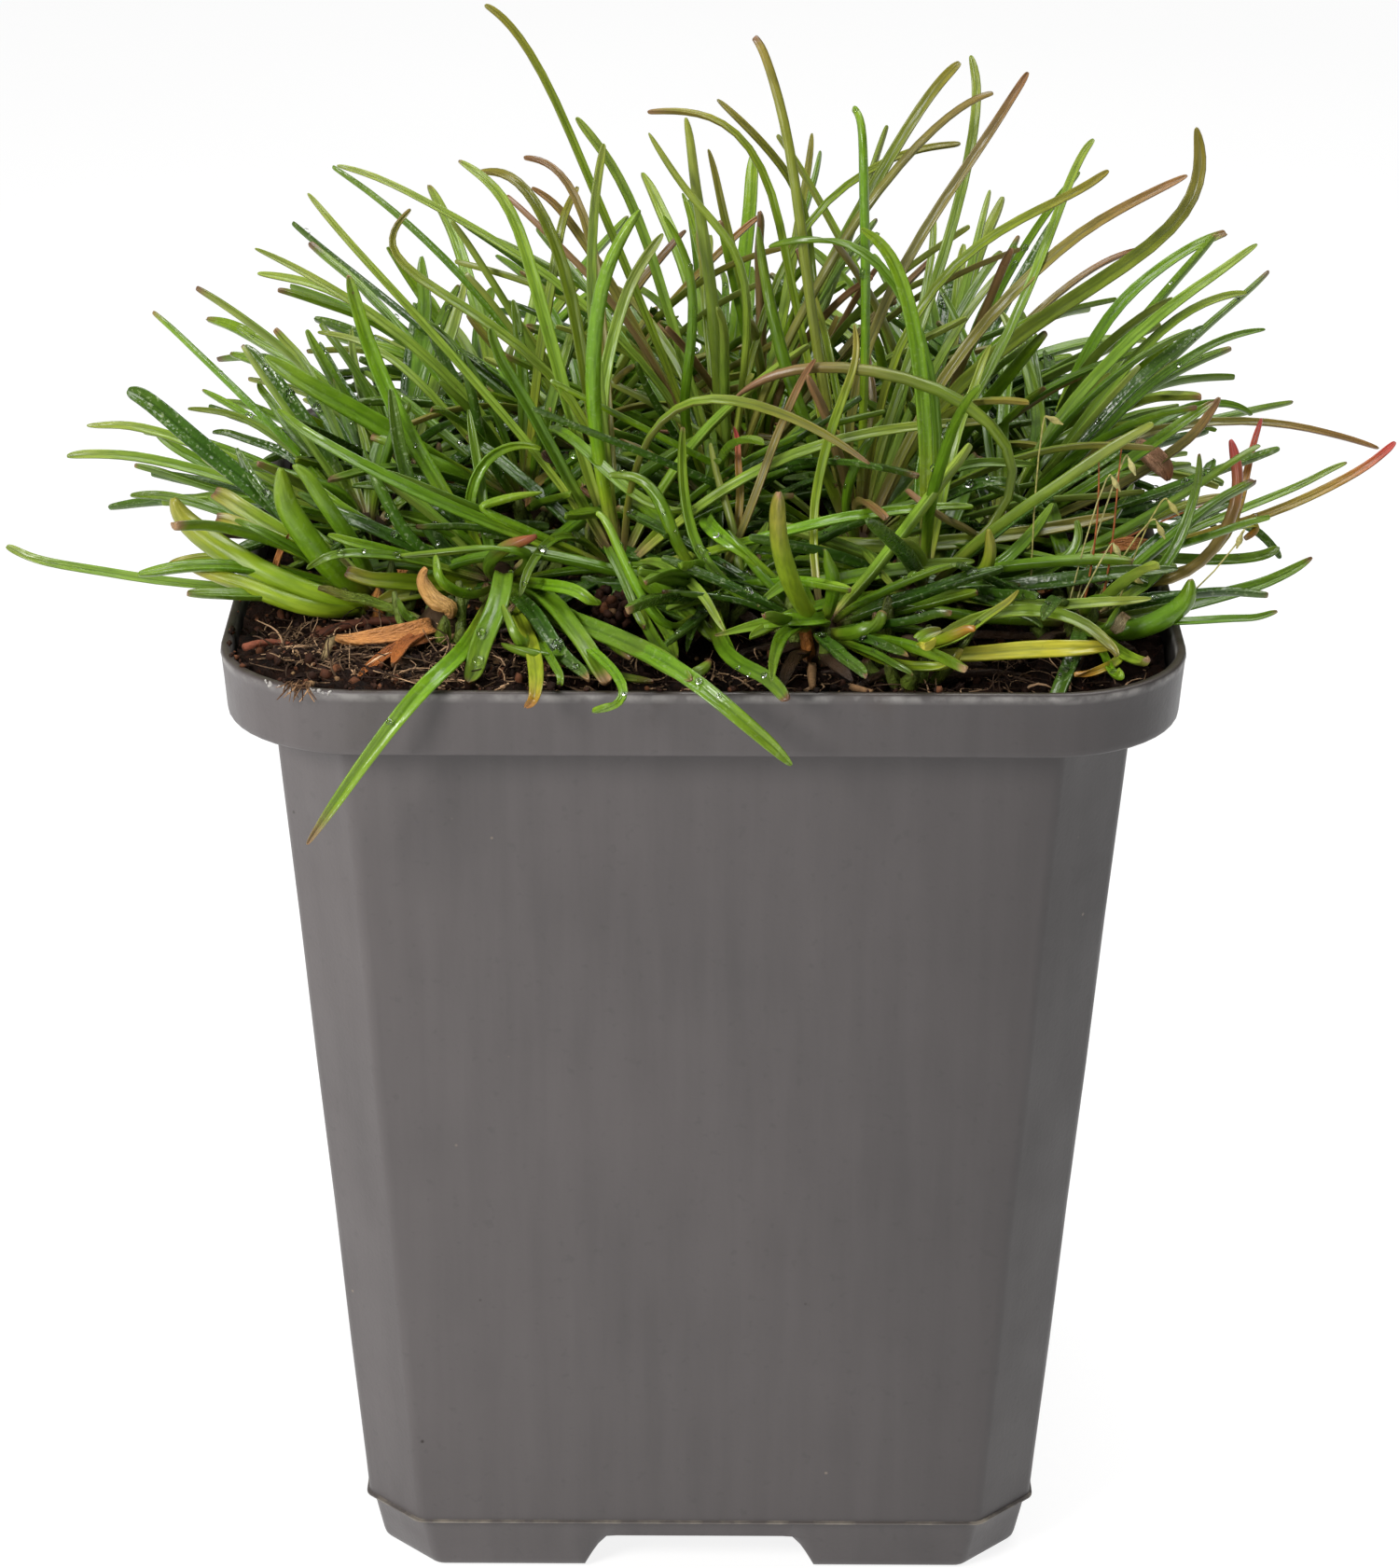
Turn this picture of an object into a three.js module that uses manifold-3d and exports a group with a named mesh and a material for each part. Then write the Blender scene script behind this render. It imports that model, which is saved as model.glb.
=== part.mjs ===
// Sea thrift growing in a square plastic nursery pot.
// Millimetres, +Z up, origin at the middle of the pot's foot, front of the pot towards -Y.
// The plant is a cushion of leaf tufts. Each tuft is a woody crown that stands in a hole in the soil,
// with strap-shaped, keeled leaves fused to it.

import * as THREE from "three";
import { mergeVertices } from "three/addons/utils/BufferGeometryUtils.js";
import Module from "manifold-3d";

const wasm = await Module();
wasm.setup();

// Pot: driving sizes
const POT_HEIGHT = 100;
const RIM_WIDTH = 90;
const WALL = 1.0;
const COLLAR_HEIGHT = 6.5;
const COLLAR_FLARE = 0.5;
const COLLAR_CORNER = 13;
const BODY_TOP_WIDTH = 80.4;
const BODY_BASE_WIDTH = 67.2;
const BODY_CUT_TOP = 7;
const BODY_CUT_BASE = 5.6;
const SEAM_HEIGHT = 6.0;
const SEAM_STEP = 0.35;
const FOOT_WIDTH = 64.6;
const FOOT_ROUND = 0.9;
const FLOOR_UNDERSIDE = 4.0;
const FLOOR_THICKNESS = 1.2;
const NOTCH_WIDTH_LOW = 23.2;
const NOTCH_WIDTH_HIGH = 19.4;
const HOLE_RADIUS = 4;
const HOLE_SPACING = 18;

// Soil
const CLEARANCE = 0.3;
const SOIL_LEVEL = 97.1;
const SOIL_MOUND = 1.6;
const SOIL_CELLS = 15;

// Crown of a tuft
const ROOT_RADIUS = 2.2;
const ROOT_DEPTH = 6;
const CROWN_RADIUS = 3.7;
const CROWN_HEIGHT = 7;
const CROWN_SIDES = 6;

// Leaves
const GAP = 0.32;
const KEEL_SHARE = 0.5;
const LEAST_KEEL = 0.75;
const LAST_RING = 0.92;
// A measured leaf turns its broad side part of the way towards the front, from where it was measured.
const FACING = 0.7;
const FRONT = new THREE.Vector3(0, -0.925, 0.38);
const RING_SPACING = 9;
const SEARCH = 1.5;
const REACH = { x: 67.6, y: 58 };
const TRIES = 9;

const RAD = Math.PI / 180;
const up = new THREE.Vector3(0, 0, 1);

// Solids from three.js geometry and back

function solidOf(geometry) {
  const bare = geometry.index ? geometry.toNonIndexed() : geometry.clone();
  bare.deleteAttribute("normal");
  bare.deleteAttribute("uv");
  const merged = mergeVertices(bare, 1e-4);
  return new wasm.Manifold(
    new wasm.Mesh({
      numProp: 3,
      vertProperties: new Float32Array(merged.attributes.position.array),
      triVerts: new Uint32Array(merged.index.array),
    }),
  );
}

function geometryOf(solid) {
  const { vertProperties, triVerts, numProp } = solid.getMesh();
  const count = vertProperties.length / numProp;
  const position = new Float32Array(count * 3);
  for (let i = 0; i < count; i++)
    position.set(vertProperties.subarray(i * numProp, i * numProp + 3), i * 3);
  const geometry = new THREE.BufferGeometry();
  geometry.setAttribute("position", new THREE.BufferAttribute(position, 3));
  geometry.setIndex(new THREE.BufferAttribute(new Uint32Array(triVerts), 1));
  geometry.computeVertexNormals();
  return geometry;
}

// A closed skin through rings of equally many points, each ring anticlockwise seen from +Z, lowest ring first.
function loft(rings) {
  const n = rings[0].length;
  const points = rings.flat();
  const index = [];
  for (let r = 0; r + 1 < rings.length; r++)
    for (let i = 0; i < n; i++) {
      const a = r * n + i;
      const b = r * n + ((i + 1) % n);
      index.push(a, b, b + n, a, b + n, a + n);
    }
  const top = (rings.length - 1) * n;
  for (let i = 1; i + 1 < n; i++) {
    index.push(0, i + 1, i);
    index.push(top, top + i, top + i + 1);
  }
  const geometry = new THREE.BufferGeometry().setFromPoints(points);
  geometry.setIndex(index);
  return geometry;
}

// Pot

// A square outline at height z. Each corner is cut back by `cut`, as a flat at bulge 0 and as an arc at bulge 1.
function squareRing(width, cut, bulge, z) {
  const steps = 5;
  const half = width / 2;
  const ring = [];
  for (let corner = 0; corner < 4; corner++)
    for (let i = 0; i <= steps; i++) {
      const turn = (i / steps) * (Math.PI / 2);
      const share = i / steps;
      const flat = [half - cut * share, half - cut * (1 - share)];
      const round = [half - cut * (1 - Math.cos(turn)), half - cut * (1 - Math.sin(turn))];
      const x = THREE.MathUtils.lerp(flat[0], round[0], bulge);
      const y = THREE.MathUtils.lerp(flat[1], round[1], bulge);
      const point = new THREE.Vector3(x, y, z);
      ring.push(point.applyAxisAngle(up, (corner * Math.PI) / 2));
    }
  return ring;
}

const collarBottom = POT_HEIGHT - COLLAR_HEIGHT;
const floorTop = FLOOR_UNDERSIDE + FLOOR_THICKNESS;
const BODY_BULGE = 0.2;

// Width and corner cut of the tapered body at height z.
function bodyAt(z) {
  const share = (z - SEAM_HEIGHT) / (collarBottom - SEAM_HEIGHT);
  return {
    width: THREE.MathUtils.lerp(BODY_BASE_WIDTH, BODY_TOP_WIDTH, share),
    cut: THREE.MathUtils.lerp(BODY_CUT_BASE, BODY_CUT_TOP, share),
  };
}

function potOutside() {
  const foot = squareRing(FOOT_WIDTH - FOOT_ROUND, BODY_CUT_BASE, BODY_BULGE, 0);
  const footSide = squareRing(FOOT_WIDTH, BODY_CUT_BASE, BODY_BULGE, FOOT_ROUND);
  const underSeam = BODY_BASE_WIDTH - 2 * SEAM_STEP;
  return solidOf(
    loft([
      foot,
      footSide,
      squareRing(underSeam, BODY_CUT_BASE, BODY_BULGE, SEAM_HEIGHT - 0.05),
      squareRing(BODY_BASE_WIDTH, BODY_CUT_BASE, BODY_BULGE, SEAM_HEIGHT),
      squareRing(BODY_TOP_WIDTH, BODY_CUT_TOP, BODY_BULGE, collarBottom),
      squareRing(RIM_WIDTH - 2 * COLLAR_FLARE, COLLAR_CORNER, 1, collarBottom + 0.1),
      squareRing(RIM_WIDTH, COLLAR_CORNER, 1, POT_HEIGHT),
    ]),
  );
}

// The space inside the walls, made smaller all round by `shrink`, and cut off flat at `top`.
function potInside(shrink, top) {
  const inset = 2 * (WALL + shrink);
  const ledge = collarBottom + WALL;
  const low = bodyAt(floorTop);
  const high = bodyAt(ledge);
  const collarAtLedge = RIM_WIDTH - 2 * COLLAR_FLARE;
  return solidOf(
    loft([
      squareRing(low.width - inset, low.cut, BODY_BULGE, floorTop + shrink),
      squareRing(high.width - inset, high.cut, BODY_BULGE, ledge + shrink),
      squareRing(collarAtLedge - inset, COLLAR_CORNER - 1, 1, ledge + shrink + 0.1),
      squareRing(RIM_WIDTH - inset, COLLAR_CORNER - 1, 1, top),
    ]),
  );
}

function drainHoles() {
  const places = [[0, 0]];
  for (const side of [-1, 1])
    places.push([side * HOLE_SPACING, 0], [0, side * HOLE_SPACING]);
  const drill = new THREE.CylinderGeometry(HOLE_RADIUS, HOLE_RADIUS, 8, 16).rotateX(Math.PI / 2);
  return places.map(([x, y]) => solidOf(drill.clone().translate(x, y, FLOOR_UNDERSIDE)));
}

// The gap between two feet, drawn across X and pushed through the whole pot along Y.
function footNotch() {
  const low = NOTCH_WIDTH_LOW / 2;
  const high = NOTCH_WIDTH_HIGH / 2;
  const outline = new THREE.Shape();
  outline.moveTo(-low - 1, -1);
  outline.lineTo(low + 1, -1);
  outline.lineTo(low, 0.6);
  outline.quadraticCurveTo(high + 0.4, FLOOR_UNDERSIDE, high - 1.2, FLOOR_UNDERSIDE);
  outline.lineTo(1.2 - high, FLOOR_UNDERSIDE);
  outline.quadraticCurveTo(-high - 0.4, FLOOR_UNDERSIDE, -low, 0.6);
  const cutter = new THREE.ExtrudeGeometry(outline, {
    depth: RIM_WIDTH,
    bevelEnabled: false,
    curveSegments: 4,
  });
  return cutter.rotateX(Math.PI / 2).translate(0, RIM_WIDTH / 2, 0);
}

function potSolid() {
  const skirt = 2 * (WALL + 0.2);
  const under = loft([
    squareRing(FOOT_WIDTH - skirt - FOOT_ROUND, BODY_CUT_BASE, BODY_BULGE, -1),
    squareRing(FOOT_WIDTH - skirt + 0.5, BODY_CUT_BASE, BODY_BULGE, FLOOR_UNDERSIDE),
  ]);
  let pot = potOutside().subtract(potInside(0, POT_HEIGHT + 1));
  pot = pot.subtract(solidOf(under));
  const notch = footNotch();
  pot = pot.subtract(solidOf(notch));
  pot = pot.subtract(solidOf(notch.clone().rotateZ(Math.PI / 2)));
  for (const hole of drainHoles()) pot = pot.subtract(hole);
  return pot.simplify(0.005);
}

// Soil

// Height of the crumbly soil surface, mounded under the plant and sunk towards the right front corner.
function soilTop(x, y) {
  const reach = Math.min(1, Math.hypot(x, y) / 46);
  const mound = SOIL_MOUND * (1 - reach * reach);
  const slump = -1.6 * Math.exp(-((x - 38) ** 2 + (y + 38) ** 2) / 90);
  const clods =
    0.45 * Math.sin(0.31 * x + 1.3) * Math.cos(0.27 * y - 0.4) +
    0.3 * Math.sin(0.47 * x - 0.38 * y) +
    0.25 * Math.cos(0.4 * x + 0.51 * y + 2);
  return SOIL_LEVEL + mound + slump + clods;
}

function soilSolid(holes) {
  const size = RIM_WIDTH;
  const depth = 120;
  const block = new THREE.BoxGeometry(size, size, depth, SOIL_CELLS, SOIL_CELLS, 1);
  const place = block.attributes.position;
  for (let i = 0; i < place.count; i++)
    if (place.getZ(i) > 0) place.setZ(i, soilTop(place.getX(i), place.getY(i)));
  let soil = solidOf(block).intersect(potInside(CLEARANCE, POT_HEIGHT + 3));
  for (const hole of holes) soil = soil.subtract(hole);
  return soil.simplify(0.01);
}

// Leaves

// A seeded stream of numbers from 0 to 1.
function drawer(seed) {
  const modulus = 2147483647;
  let state = (seed * 48271 + 11) % modulus;
  const next = () => {
    state = (state * 16807) % modulus;
    return state / modulus;
  };
  next();
  next();
  return next;
}

const heading = (azimuth, elevation) =>
  new THREE.Vector3(
    Math.cos(elevation * RAD) * Math.cos(azimuth * RAD),
    Math.cos(elevation * RAD) * Math.sin(azimuth * RAD),
    Math.sin(elevation * RAD),
  );

// The level sideways direction of a leaf that lies flat.
const flatSide = (azimuth) => new THREE.Vector3(-Math.sin(azimuth * RAD), Math.cos(azimuth * RAD), 0);

// Where a leaf leaves its crown: just inside the crown's dome, on the side that the leaf heads for.
function rootOf(tuft, azimuth, elevation) {
  const [x, y] = tuft.at;
  const middle = new THREE.Vector3(x, y, crownBase(tuft) + CROWN_HEIGHT * 0.42);
  return middle.add(heading(azimuth, elevation).multiplyScalar(CROWN_RADIUS * 0.35));
}

const crownBase = (tuft) => soilTop(tuft.at[0], tuft.at[1]) + 0.2;

// A leaf measured on the plant: its width, one or two places that it passes on its way, and its tip.
// Later attempts stray a little from the measured places, to bend it clear of its neighbours.
function measuredLeaf(tuft, [width, ...places], draw, attempt) {
  const stray = () => (draw() - 0.5) * attempt * 0.8;
  const passed = places.map(([x, y, z]) => new THREE.Vector3(x + stray(), y + stray(), z + stray()));
  const [dx, dy] = [passed[0].x - tuft.at[0], passed[0].y - tuft.at[1]];
  const azimuth = Math.atan2(dy, dx) / RAD;
  const rise = Math.atan2(passed[0].z - crownBase(tuft) - 3, Math.hypot(dx, dy)) / RAD;
  const root = rootOf(tuft, azimuth, rise);
  const mix = (...terms) =>
    terms.reduce((sum, [share, point]) => sum.addScaledVector(point, share), new THREE.Vector3());
  const tip = passed.at(-1);
  let arms;
  if (passed.length === 2) {
    const bend = mix([2, passed[0]], [-0.5, root], [-0.5, tip]);
    arms = [mix([1 / 3, root], [2 / 3, bend]), mix([1 / 3, tip], [2 / 3, bend])];
  } else {
    const [low, high] = passed;
    arms = [
      mix([-5 / 6, root], [3, low], [-1.5, high], [1 / 3, tip]),
      mix([1 / 3, root], [-1.5, low], [3, high], [-5 / 6, tip]),
    ];
  }
  const points = [root, ...arms, tip];
  return { points, azimuth, width, roll: rollToFront(points, azimuth), twist: stray() * 10 };
}

// Degrees by which a leaf turns about its own middle line, away from lying flat.
function rollToFront(points, azimuth) {
  const along = new THREE.CubicBezierCurve3(...points).getTangent(0.6);
  const side = flatSide(azimuth).projectOnPlane(along).normalize();
  const across = along.clone().cross(FRONT).normalize();
  const turn = Math.atan2(side.clone().cross(across).dot(along), side.dot(across)) / RAD;
  return FACING * (turn - 180 * Math.round(turn / 180));
}

// A leaf drawn by the tuft's rule: the outer leaves of a tuft lie low and the inner ones stand up.
function drawnLeaf(tuft, number, draw) {
  const rule = tuft.drawn;
  const between = ([low, high], share) => low + (high - low) * share;
  const share = (number + 0.5) / rule.count;
  const spread = 2 * ((number * 0.618 + 0.25 * draw()) % 1) - 1;
  const azimuth = rule.faces + rule.fan * spread;
  const lift = between(rule.rise, share) + 30 * (draw() - 0.5);
  const length = between(rule.length, draw());
  const droop = rule.droop * draw();
  const sway = 70 * (draw() - 0.5);
  const width = between(rule.width, draw());
  const root = rootOf(tuft, azimuth, lift);
  const points = [root];
  for (const bent of [0, 0.5, 1]) {
    const step = heading(azimuth + sway * bent, lift - droop * bent);
    points.push(points.at(-1).clone().addScaledVector(step, length / 3));
  }
  return { points, azimuth, width, roll: 0, twist: 60 * (draw() - 0.5) };
}

// Share of the leaf's full width at t from root 0 to tip 1.
function widthAt(t) {
  const base = 0.72 + 0.28 * Math.min(1, t / 0.35);
  const tip = t < 0.7 ? 1 : Math.sqrt(Math.max(0, 1 - ((t - 0.7) / 0.31) ** 2));
  return base * tip;
}

// The solid of one leaf: flat above, keeled below, drawn out to a point at its tip.
function leafSolid(leaf) {
  const curve = new THREE.CubicBezierCurve3(...leaf.points);
  const flat = flatSide(leaf.azimuth);
  const length = leaf.points[0].distanceTo(leaf.points[3]);
  const spans = THREE.MathUtils.clamp(Math.round(length / RING_SPACING), 3, 5) - 1;
  const rings = [...Array(spans + 1).keys()].map((ring) => {
    const t = (LAST_RING * ring) / spans;
    const along = curve.getTangent(t);
    const side = flat.clone().projectOnPlane(along).normalize();
    side.applyAxisAngle(along, (leaf.roll + leaf.twist * t) * RAD);
    const above = new THREE.Vector3().crossVectors(along, side);
    const half = (leaf.width / 2) * widthAt(t);
    const keel = Math.max(LEAST_KEEL, leaf.width * KEEL_SHARE) * (0.55 + 0.45 * widthAt(t));
    const centre = curve.getPoint(t);
    return [
      centre.clone().addScaledVector(side, half).addScaledVector(above, keel * 0.3),
      centre.clone().addScaledVector(side, -half).addScaledVector(above, keel * 0.3),
      centre.clone().addScaledVector(above, -keel * 0.7),
    ];
  });
  const points = [...rings.flat(), leaf.points[3]];
  const tip = points.length - 1;
  const index = [0, 2, 1];
  for (let r = 0; r + 1 < rings.length; r++)
    for (let i = 0; i < 3; i++) {
      const a = 3 * r + i;
      const b = 3 * r + ((i + 1) % 3);
      index.push(a, b, a + 3, b, b + 3, a + 3);
    }
  const last = tip - 3;
  for (let i = 0; i < 3; i++) index.push(last + i, last + ((i + 1) % 3), tip);
  const geometry = new THREE.BufferGeometry().setFromPoints(points);
  geometry.setIndex(index);
  const solid = solidOf(geometry);
  return solid.volume() > 0 ? solid : null;
}

// The woody crown: a stub that stands in its hole and a belly above the soil that the leaves grow from.
function crownSolid(tuft) {
  const profile = [
    [0, -ROOT_DEPTH],
    [ROOT_RADIUS * 0.8, -ROOT_DEPTH],
    [ROOT_RADIUS, 0.3],
    [CROWN_RADIUS, CROWN_HEIGHT * 0.35],
    [CROWN_RADIUS * 0.7, CROWN_HEIGHT * 0.8],
    [0, CROWN_HEIGHT],
  ].map(([r, z]) => new THREE.Vector2(r, z));
  const lathe = new THREE.LatheGeometry(profile, CROWN_SIDES).rotateX(Math.PI / 2);
  return solidOf(lathe.translate(tuft.at[0], tuft.at[1], crownBase(tuft)));
}

// The plain round hole in the soil that a crown's stub stands in.
function crownHole(tuft) {
  const depth = ROOT_DEPTH + CLEARANCE;
  const radius = (ROOT_RADIUS + CLEARANCE) / Math.cos(Math.PI / 8);
  const drill = new THREE.CylinderGeometry(radius, radius, 2 * depth, 8).rotateX(Math.PI / 2);
  return solidOf(drill.translate(tuft.at[0], tuft.at[1], crownBase(tuft)));
}

const boxesMeet = (a, b, reach) =>
  [0, 1, 2].every((i) => a.min[i] < b.max[i] + reach && b.min[i] < a.max[i] + reach);

const inReach = (tip) => Math.abs(tip.x) < REACH.x && Math.abs(tip.y) < REACH.y;

// True where a leaf keeps its gap to the pot, the soil and every other tuft.
function isClear(solid, tuft, others) {
  const box = solid.boundingBox();
  return others.every(
    (other) =>
      other.tuft === tuft ||
      !boxesMeet(box, other.box, GAP) ||
      solid.minGap(other.solid, SEARCH) > GAP,
  );
}

// Tufts. `at` is the crown's place in the soil. The drawn leaves head the way that the tuft faces, spread by `fan`
// to each side, rise between two slopes and droop by up to `droop` degrees towards the tip.
const tufts = [
  {
    name: "tuft_left_front",
    at: [-31, -21],
    colour: "green",
    drawn: { count: 3, faces: 175, fan: 60, rise: [10, 50], length: [16, 28], droop: 50, width: [1.5, 2.5] },
    measured: [
      [3, [-36.5, -27, 102.5], [-45, -25, 106], [-50, -23, 111]],
      [2.1, [-36.5, -29, 102], [-43, -28, 104], [-49, -27, 106]],
      [2.3, [-47, -19, 114.5], [-54.5, -18, 120]],
      [3, [-35, -25, 104.5], [-38.5, -26, 110], [-39.5, -26, 115]],
      [1.2, [-55.5, -22, 103], [-66.5, -20, 105]],
      [1.4, [-45, -14, 106], [-55.5, -12, 107.5]],
      [1.9, [-33.5, -27, 109], [-38, -28, 116]],
      [1.4, [-39.5, -21, 108], [-44.5, -17, 114]],
      [2.3, [-40.5, -22, 107.5], [-46.5, -20, 110.5]],
      [1.8, [-39.5, -24, 107], [-46, -23, 109]],
      [1.2, [-39.5, -26, 107.5], [-44, -25, 109.5]],
      [1.1, [-44, -22, 104.5], [-51, -21, 103.5]],
    ],
  },
  {
    name: "tuft_left",
    at: [-33, -4],
    colour: "green",
    drawn: { count: 10, faces: 178, fan: 85, rise: [8, 60], length: [18, 32], droop: 50, width: [1.3, 2.2] },
    measured: [
      [1.4, [-49, -5, 110], [-60.5, -4, 112]],
      [1.4, [-50.5, -8, 109], [-62, -8, 110]],
      [1.1, [-42, 0, 109.5], [-51, 0, 112.5]],
      [1.5, [-46.5, -3, 106.5], [-54, -2, 110.5]],
      [1.9, [-40, 0, 112.5], [-45.5, 3, 118]],
      [1.2, [-38, 6, 111.5], [-43, 9, 118]],
      [1.2, [-42, 8, 108.5], [-45, 10, 112]],
      [1.3, [-30.5, -10, 112], [-28.5, -8, 115.5]],
      [1.3, [-41.5, 2, 107], [-49, 3, 109]],
      [1.3, [-37, -10, 108], [-45.5, -10, 110]],
    ],
  },
  {
    name: "tuft_front_left",
    at: [-19.5, -19],
    colour: "green",
    drawn: { count: 3, faces: -150, fan: 110, rise: [10, 60], length: [16, 28], droop: 55, width: [1.5, 2.4] },
    measured: [
      [2.1, [-22, -39.5, 102], [-25.5, -47, 101], [-36, -50, 87]],
      [2.4, [-18.5, -33, 106.5], [-20, -39.5, 103.5], [-21.5, -42.5, 100]],
      [2, [-30, -12, 117.5], [-34, -10, 129]],
      [2.4, [-13, -33, 103], [-7, -40, 103], [-1, -47, 102]],
      [1.9, [-16.5, -32, 103.5], [-13.5, -38, 102], [-10.5, -43, 100.5]],
      [1.2, [-18.5, -30, 99], [-4.5, -42, 100]],
      [1.6, [-27.5, -24, 107], [-32, -22, 115.5]],
      [1.8, [-26.5, -18, 107], [-30, -14, 119]],
      [1.4, [-28.5, -26.5, 106.5], [-35, -29, 109.5]],
      [1.8, [-15, -44, 102], [-16, -48.5, 100]],
      [2, [-8.5, -37.5, 102.5], [-0.5, -47.5, 102], [8, -50, 95]],
      [2.1, [-28.5, -26.5, 104], [-33.5, -28, 105.5]],
      [2.5, [-25.5, -22.5, 102], [-31, -25.5, 101.5]],
      [1.4, [-31.5, -22, 108], [-39, -19, 113]],
      [1.7, [-29.5, -24, 107.5], [-38.5, -20, 110.5]],
      [1.2, [-31, -30, 108], [-37, -30, 106.5]],
      [1.3, [-23, -33, 105.5], [-25, -32, 108.5]],
      [1.4, [-22.5, -18, 108.5], [-20, -17, 113.5], [-15.5, -17, 114]],
      [1.6, [-13.5, -32, 105.5], [-9.5, -34, 104.5]],
      [1.1, [-14, -41, 102], [-13, -44, 100.5]],
      [1.4, [-21, -18, 107], [-22.5, -14, 117]],
      [1.8, [-25.5, -17, 108.5], [-33.5, -18, 110.5]],
      [1.4, [-13, -38, 101.5], [-18.5, -39, 102.5]],
      [1.5, [-16.5, -38, 102], [-18.5, -37, 105.5]],
      [1.2, [-8, -45, 102], [-10, -49.5, 100]],
      [1.4, [-17, -29, 108], [-28.5, -28, 107]],
      [1.6, [-20, -27, 106.5], [-15.5, -29, 109.5]],
    ],
  },
  {
    name: "tuft_middle_front",
    at: [-8, -16.5],
    colour: "green",
    drawn: { count: 5, faces: -90, fan: 170, rise: [15, 75], length: [18, 34], droop: 55, width: [1.1, 2] },
    measured: [
      [1.1, [-17.5, -13, 114], [-28, -10, 125.5], [-38, -6, 136]],
      [1.3, [-14.5, -13, 120.5], [-27, -10, 128.5], [-28, -8, 135]],
      [1.3, [-10.5, -16, 127.5], [-9.5, -14, 143]],
      [1.8, [-10.5, -20, 125], [-6, -19, 138]],
      [1.5, [-9.5, -12, 120], [-4, -9, 133]],
      [1.6, [-14, -13, 120.5], [-17.5, -10, 133], [-23.5, -7, 139.5]],
      [1.5, [-11.5, -8, 119], [-15, -4, 132.5], [-22, 0, 136.5]],
      [1.2, [-9.5, -9, 119], [-11.5, -5, 133], [-17.5, -2, 138.5]],
      [1.1, [-9, -26, 107], [-7, -30, 104], [-5.5, -33, 102]],
      [1.4, [-3, -27, 105.5], [2, -37, 103]],
      [1.4, [-4.5, -30, 102], [-2.5, -40, 101.5]],
      [1.4, [-5.5, -22, 117], [2, -22, 121], [15.5, -26, 115.5]],
      [1.4, [1.5, -22, 111.5], [12.5, -20, 116], [27.5, -14, 116]],
      [1.6, [-17.5, -17, 119], [-19.5, -16, 126.5]],
      [1.2, [-14.5, -22, 108.5], [-18, -34, 105]],
      [1.6, [-28.5, -26, 113.5], [-40, -22, 119.5]],
      [1.2, [-17, -26, 109], [-21, -27, 111.5], [-15, -27, 113]],
      [1.4, [8.5, -30, 109.5], [17, -27, 110.5], [26, -24, 111]],
      [1.5, [-3, -41, 101.5], [0.5, -41, 101.5]],
    ],
  },
  {
    name: "tuft_centre",
    at: [2, -3],
    colour: "olive",
    drawn: { count: 9, faces: 80, fan: 180, rise: [35, 82], length: [28, 46], droop: 65, width: [0.9, 1.4] },
    measured: [
      [1.1, [-6, -3, 124], [-14, -3, 143.5], [-21, -3, 153.5]],
      [1.1, [-6, -2, 118], [-20.5, 0, 130], [-36, 4, 136]],
      [1.3, [-5, 0, 127.5], [-12.5, 2, 141.5]],
      [1.5, [1.5, -5, 116], [0, -5, 131], [-2, -4, 143]],
      [1.5, [8.5, 0, 119.5], [17.5, 0, 137.5], [24.5, 2, 147]],
      [1.2, [8.5, -5, 122.5], [18, -4, 138], [27.5, -2, 145]],
      [1, [7, 2, 125.5], [15, 4, 135.5], [25, 6, 138]],
      [2, [15.5, -18, 104.5], [27, -19, 105.5], [39.5, -16, 107.5]],
      [1.3, [-9.5, 4, 124.5], [-17, 6, 133.5]],
      [1.1, [4, -8, 125.5], [1, -8, 133.5], [-5.5, -6, 142]],
      [1.3, [-2, -9, 116.5], [-1, -9, 125.5], [-4, -8, 134.5]],
      [1.4, [-5, -11, 104.5], [-12, -12, 108.5]],
      [1.9, [2.5, -25, 108], [5.5, -29, 105.5]],
      [1.5, [-3, -10, 108], [-10.5, -8, 111]],
      [1.3, [8.5, -10, 110], [16, -6, 110.5]],
    ],
  },
  {
    name: "tuft_centre_left",
    at: [-18, 1],
    colour: "green",
    drawn: { count: 8, faces: 150, fan: 170, rise: [20, 76], length: [20, 36], droop: 50, width: [1.1, 1.9] },
    measured: [
      [1.4, [-26, 0, 117], [-44, 1, 128.5]],
      [2.5, [-32.5, -6, 113], [-42.5, -7, 120]],
      [1.1, [-29, 3, 115], [-38.5, 6, 118.5]],
      [1.3, [-29, 6, 117.5], [-44.5, 8, 124]],
      [1.3, [-15, 2, 125], [-12.5, 6, 133.5]],
      [1.5, [-23.5, 2, 112], [-27.5, 5, 120]],
      [1.5, [-18, 4, 115], [-19, 6, 122]],
      [1.3, [-21.5, -4, 110], [-23.5, -4, 119.5]],
      [1.4, [-14.5, -14, 115.5], [-8.5, -20, 112], [-1, -22, 110]],
      [1.5, [-25, -6, 108.5], [-32.5, -6, 111.5]],
      [1.5, [-14, -12, 108.5], [-8.5, -10, 112]],
    ],
  },
  {
    name: "tuft_centre_right",
    at: [15, -10],
    colour: "olive",
    drawn: { count: 8, faces: 20, fan: 180, rise: [24, 80], length: [26, 42], droop: 55, width: [0.9, 1.4] },
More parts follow.
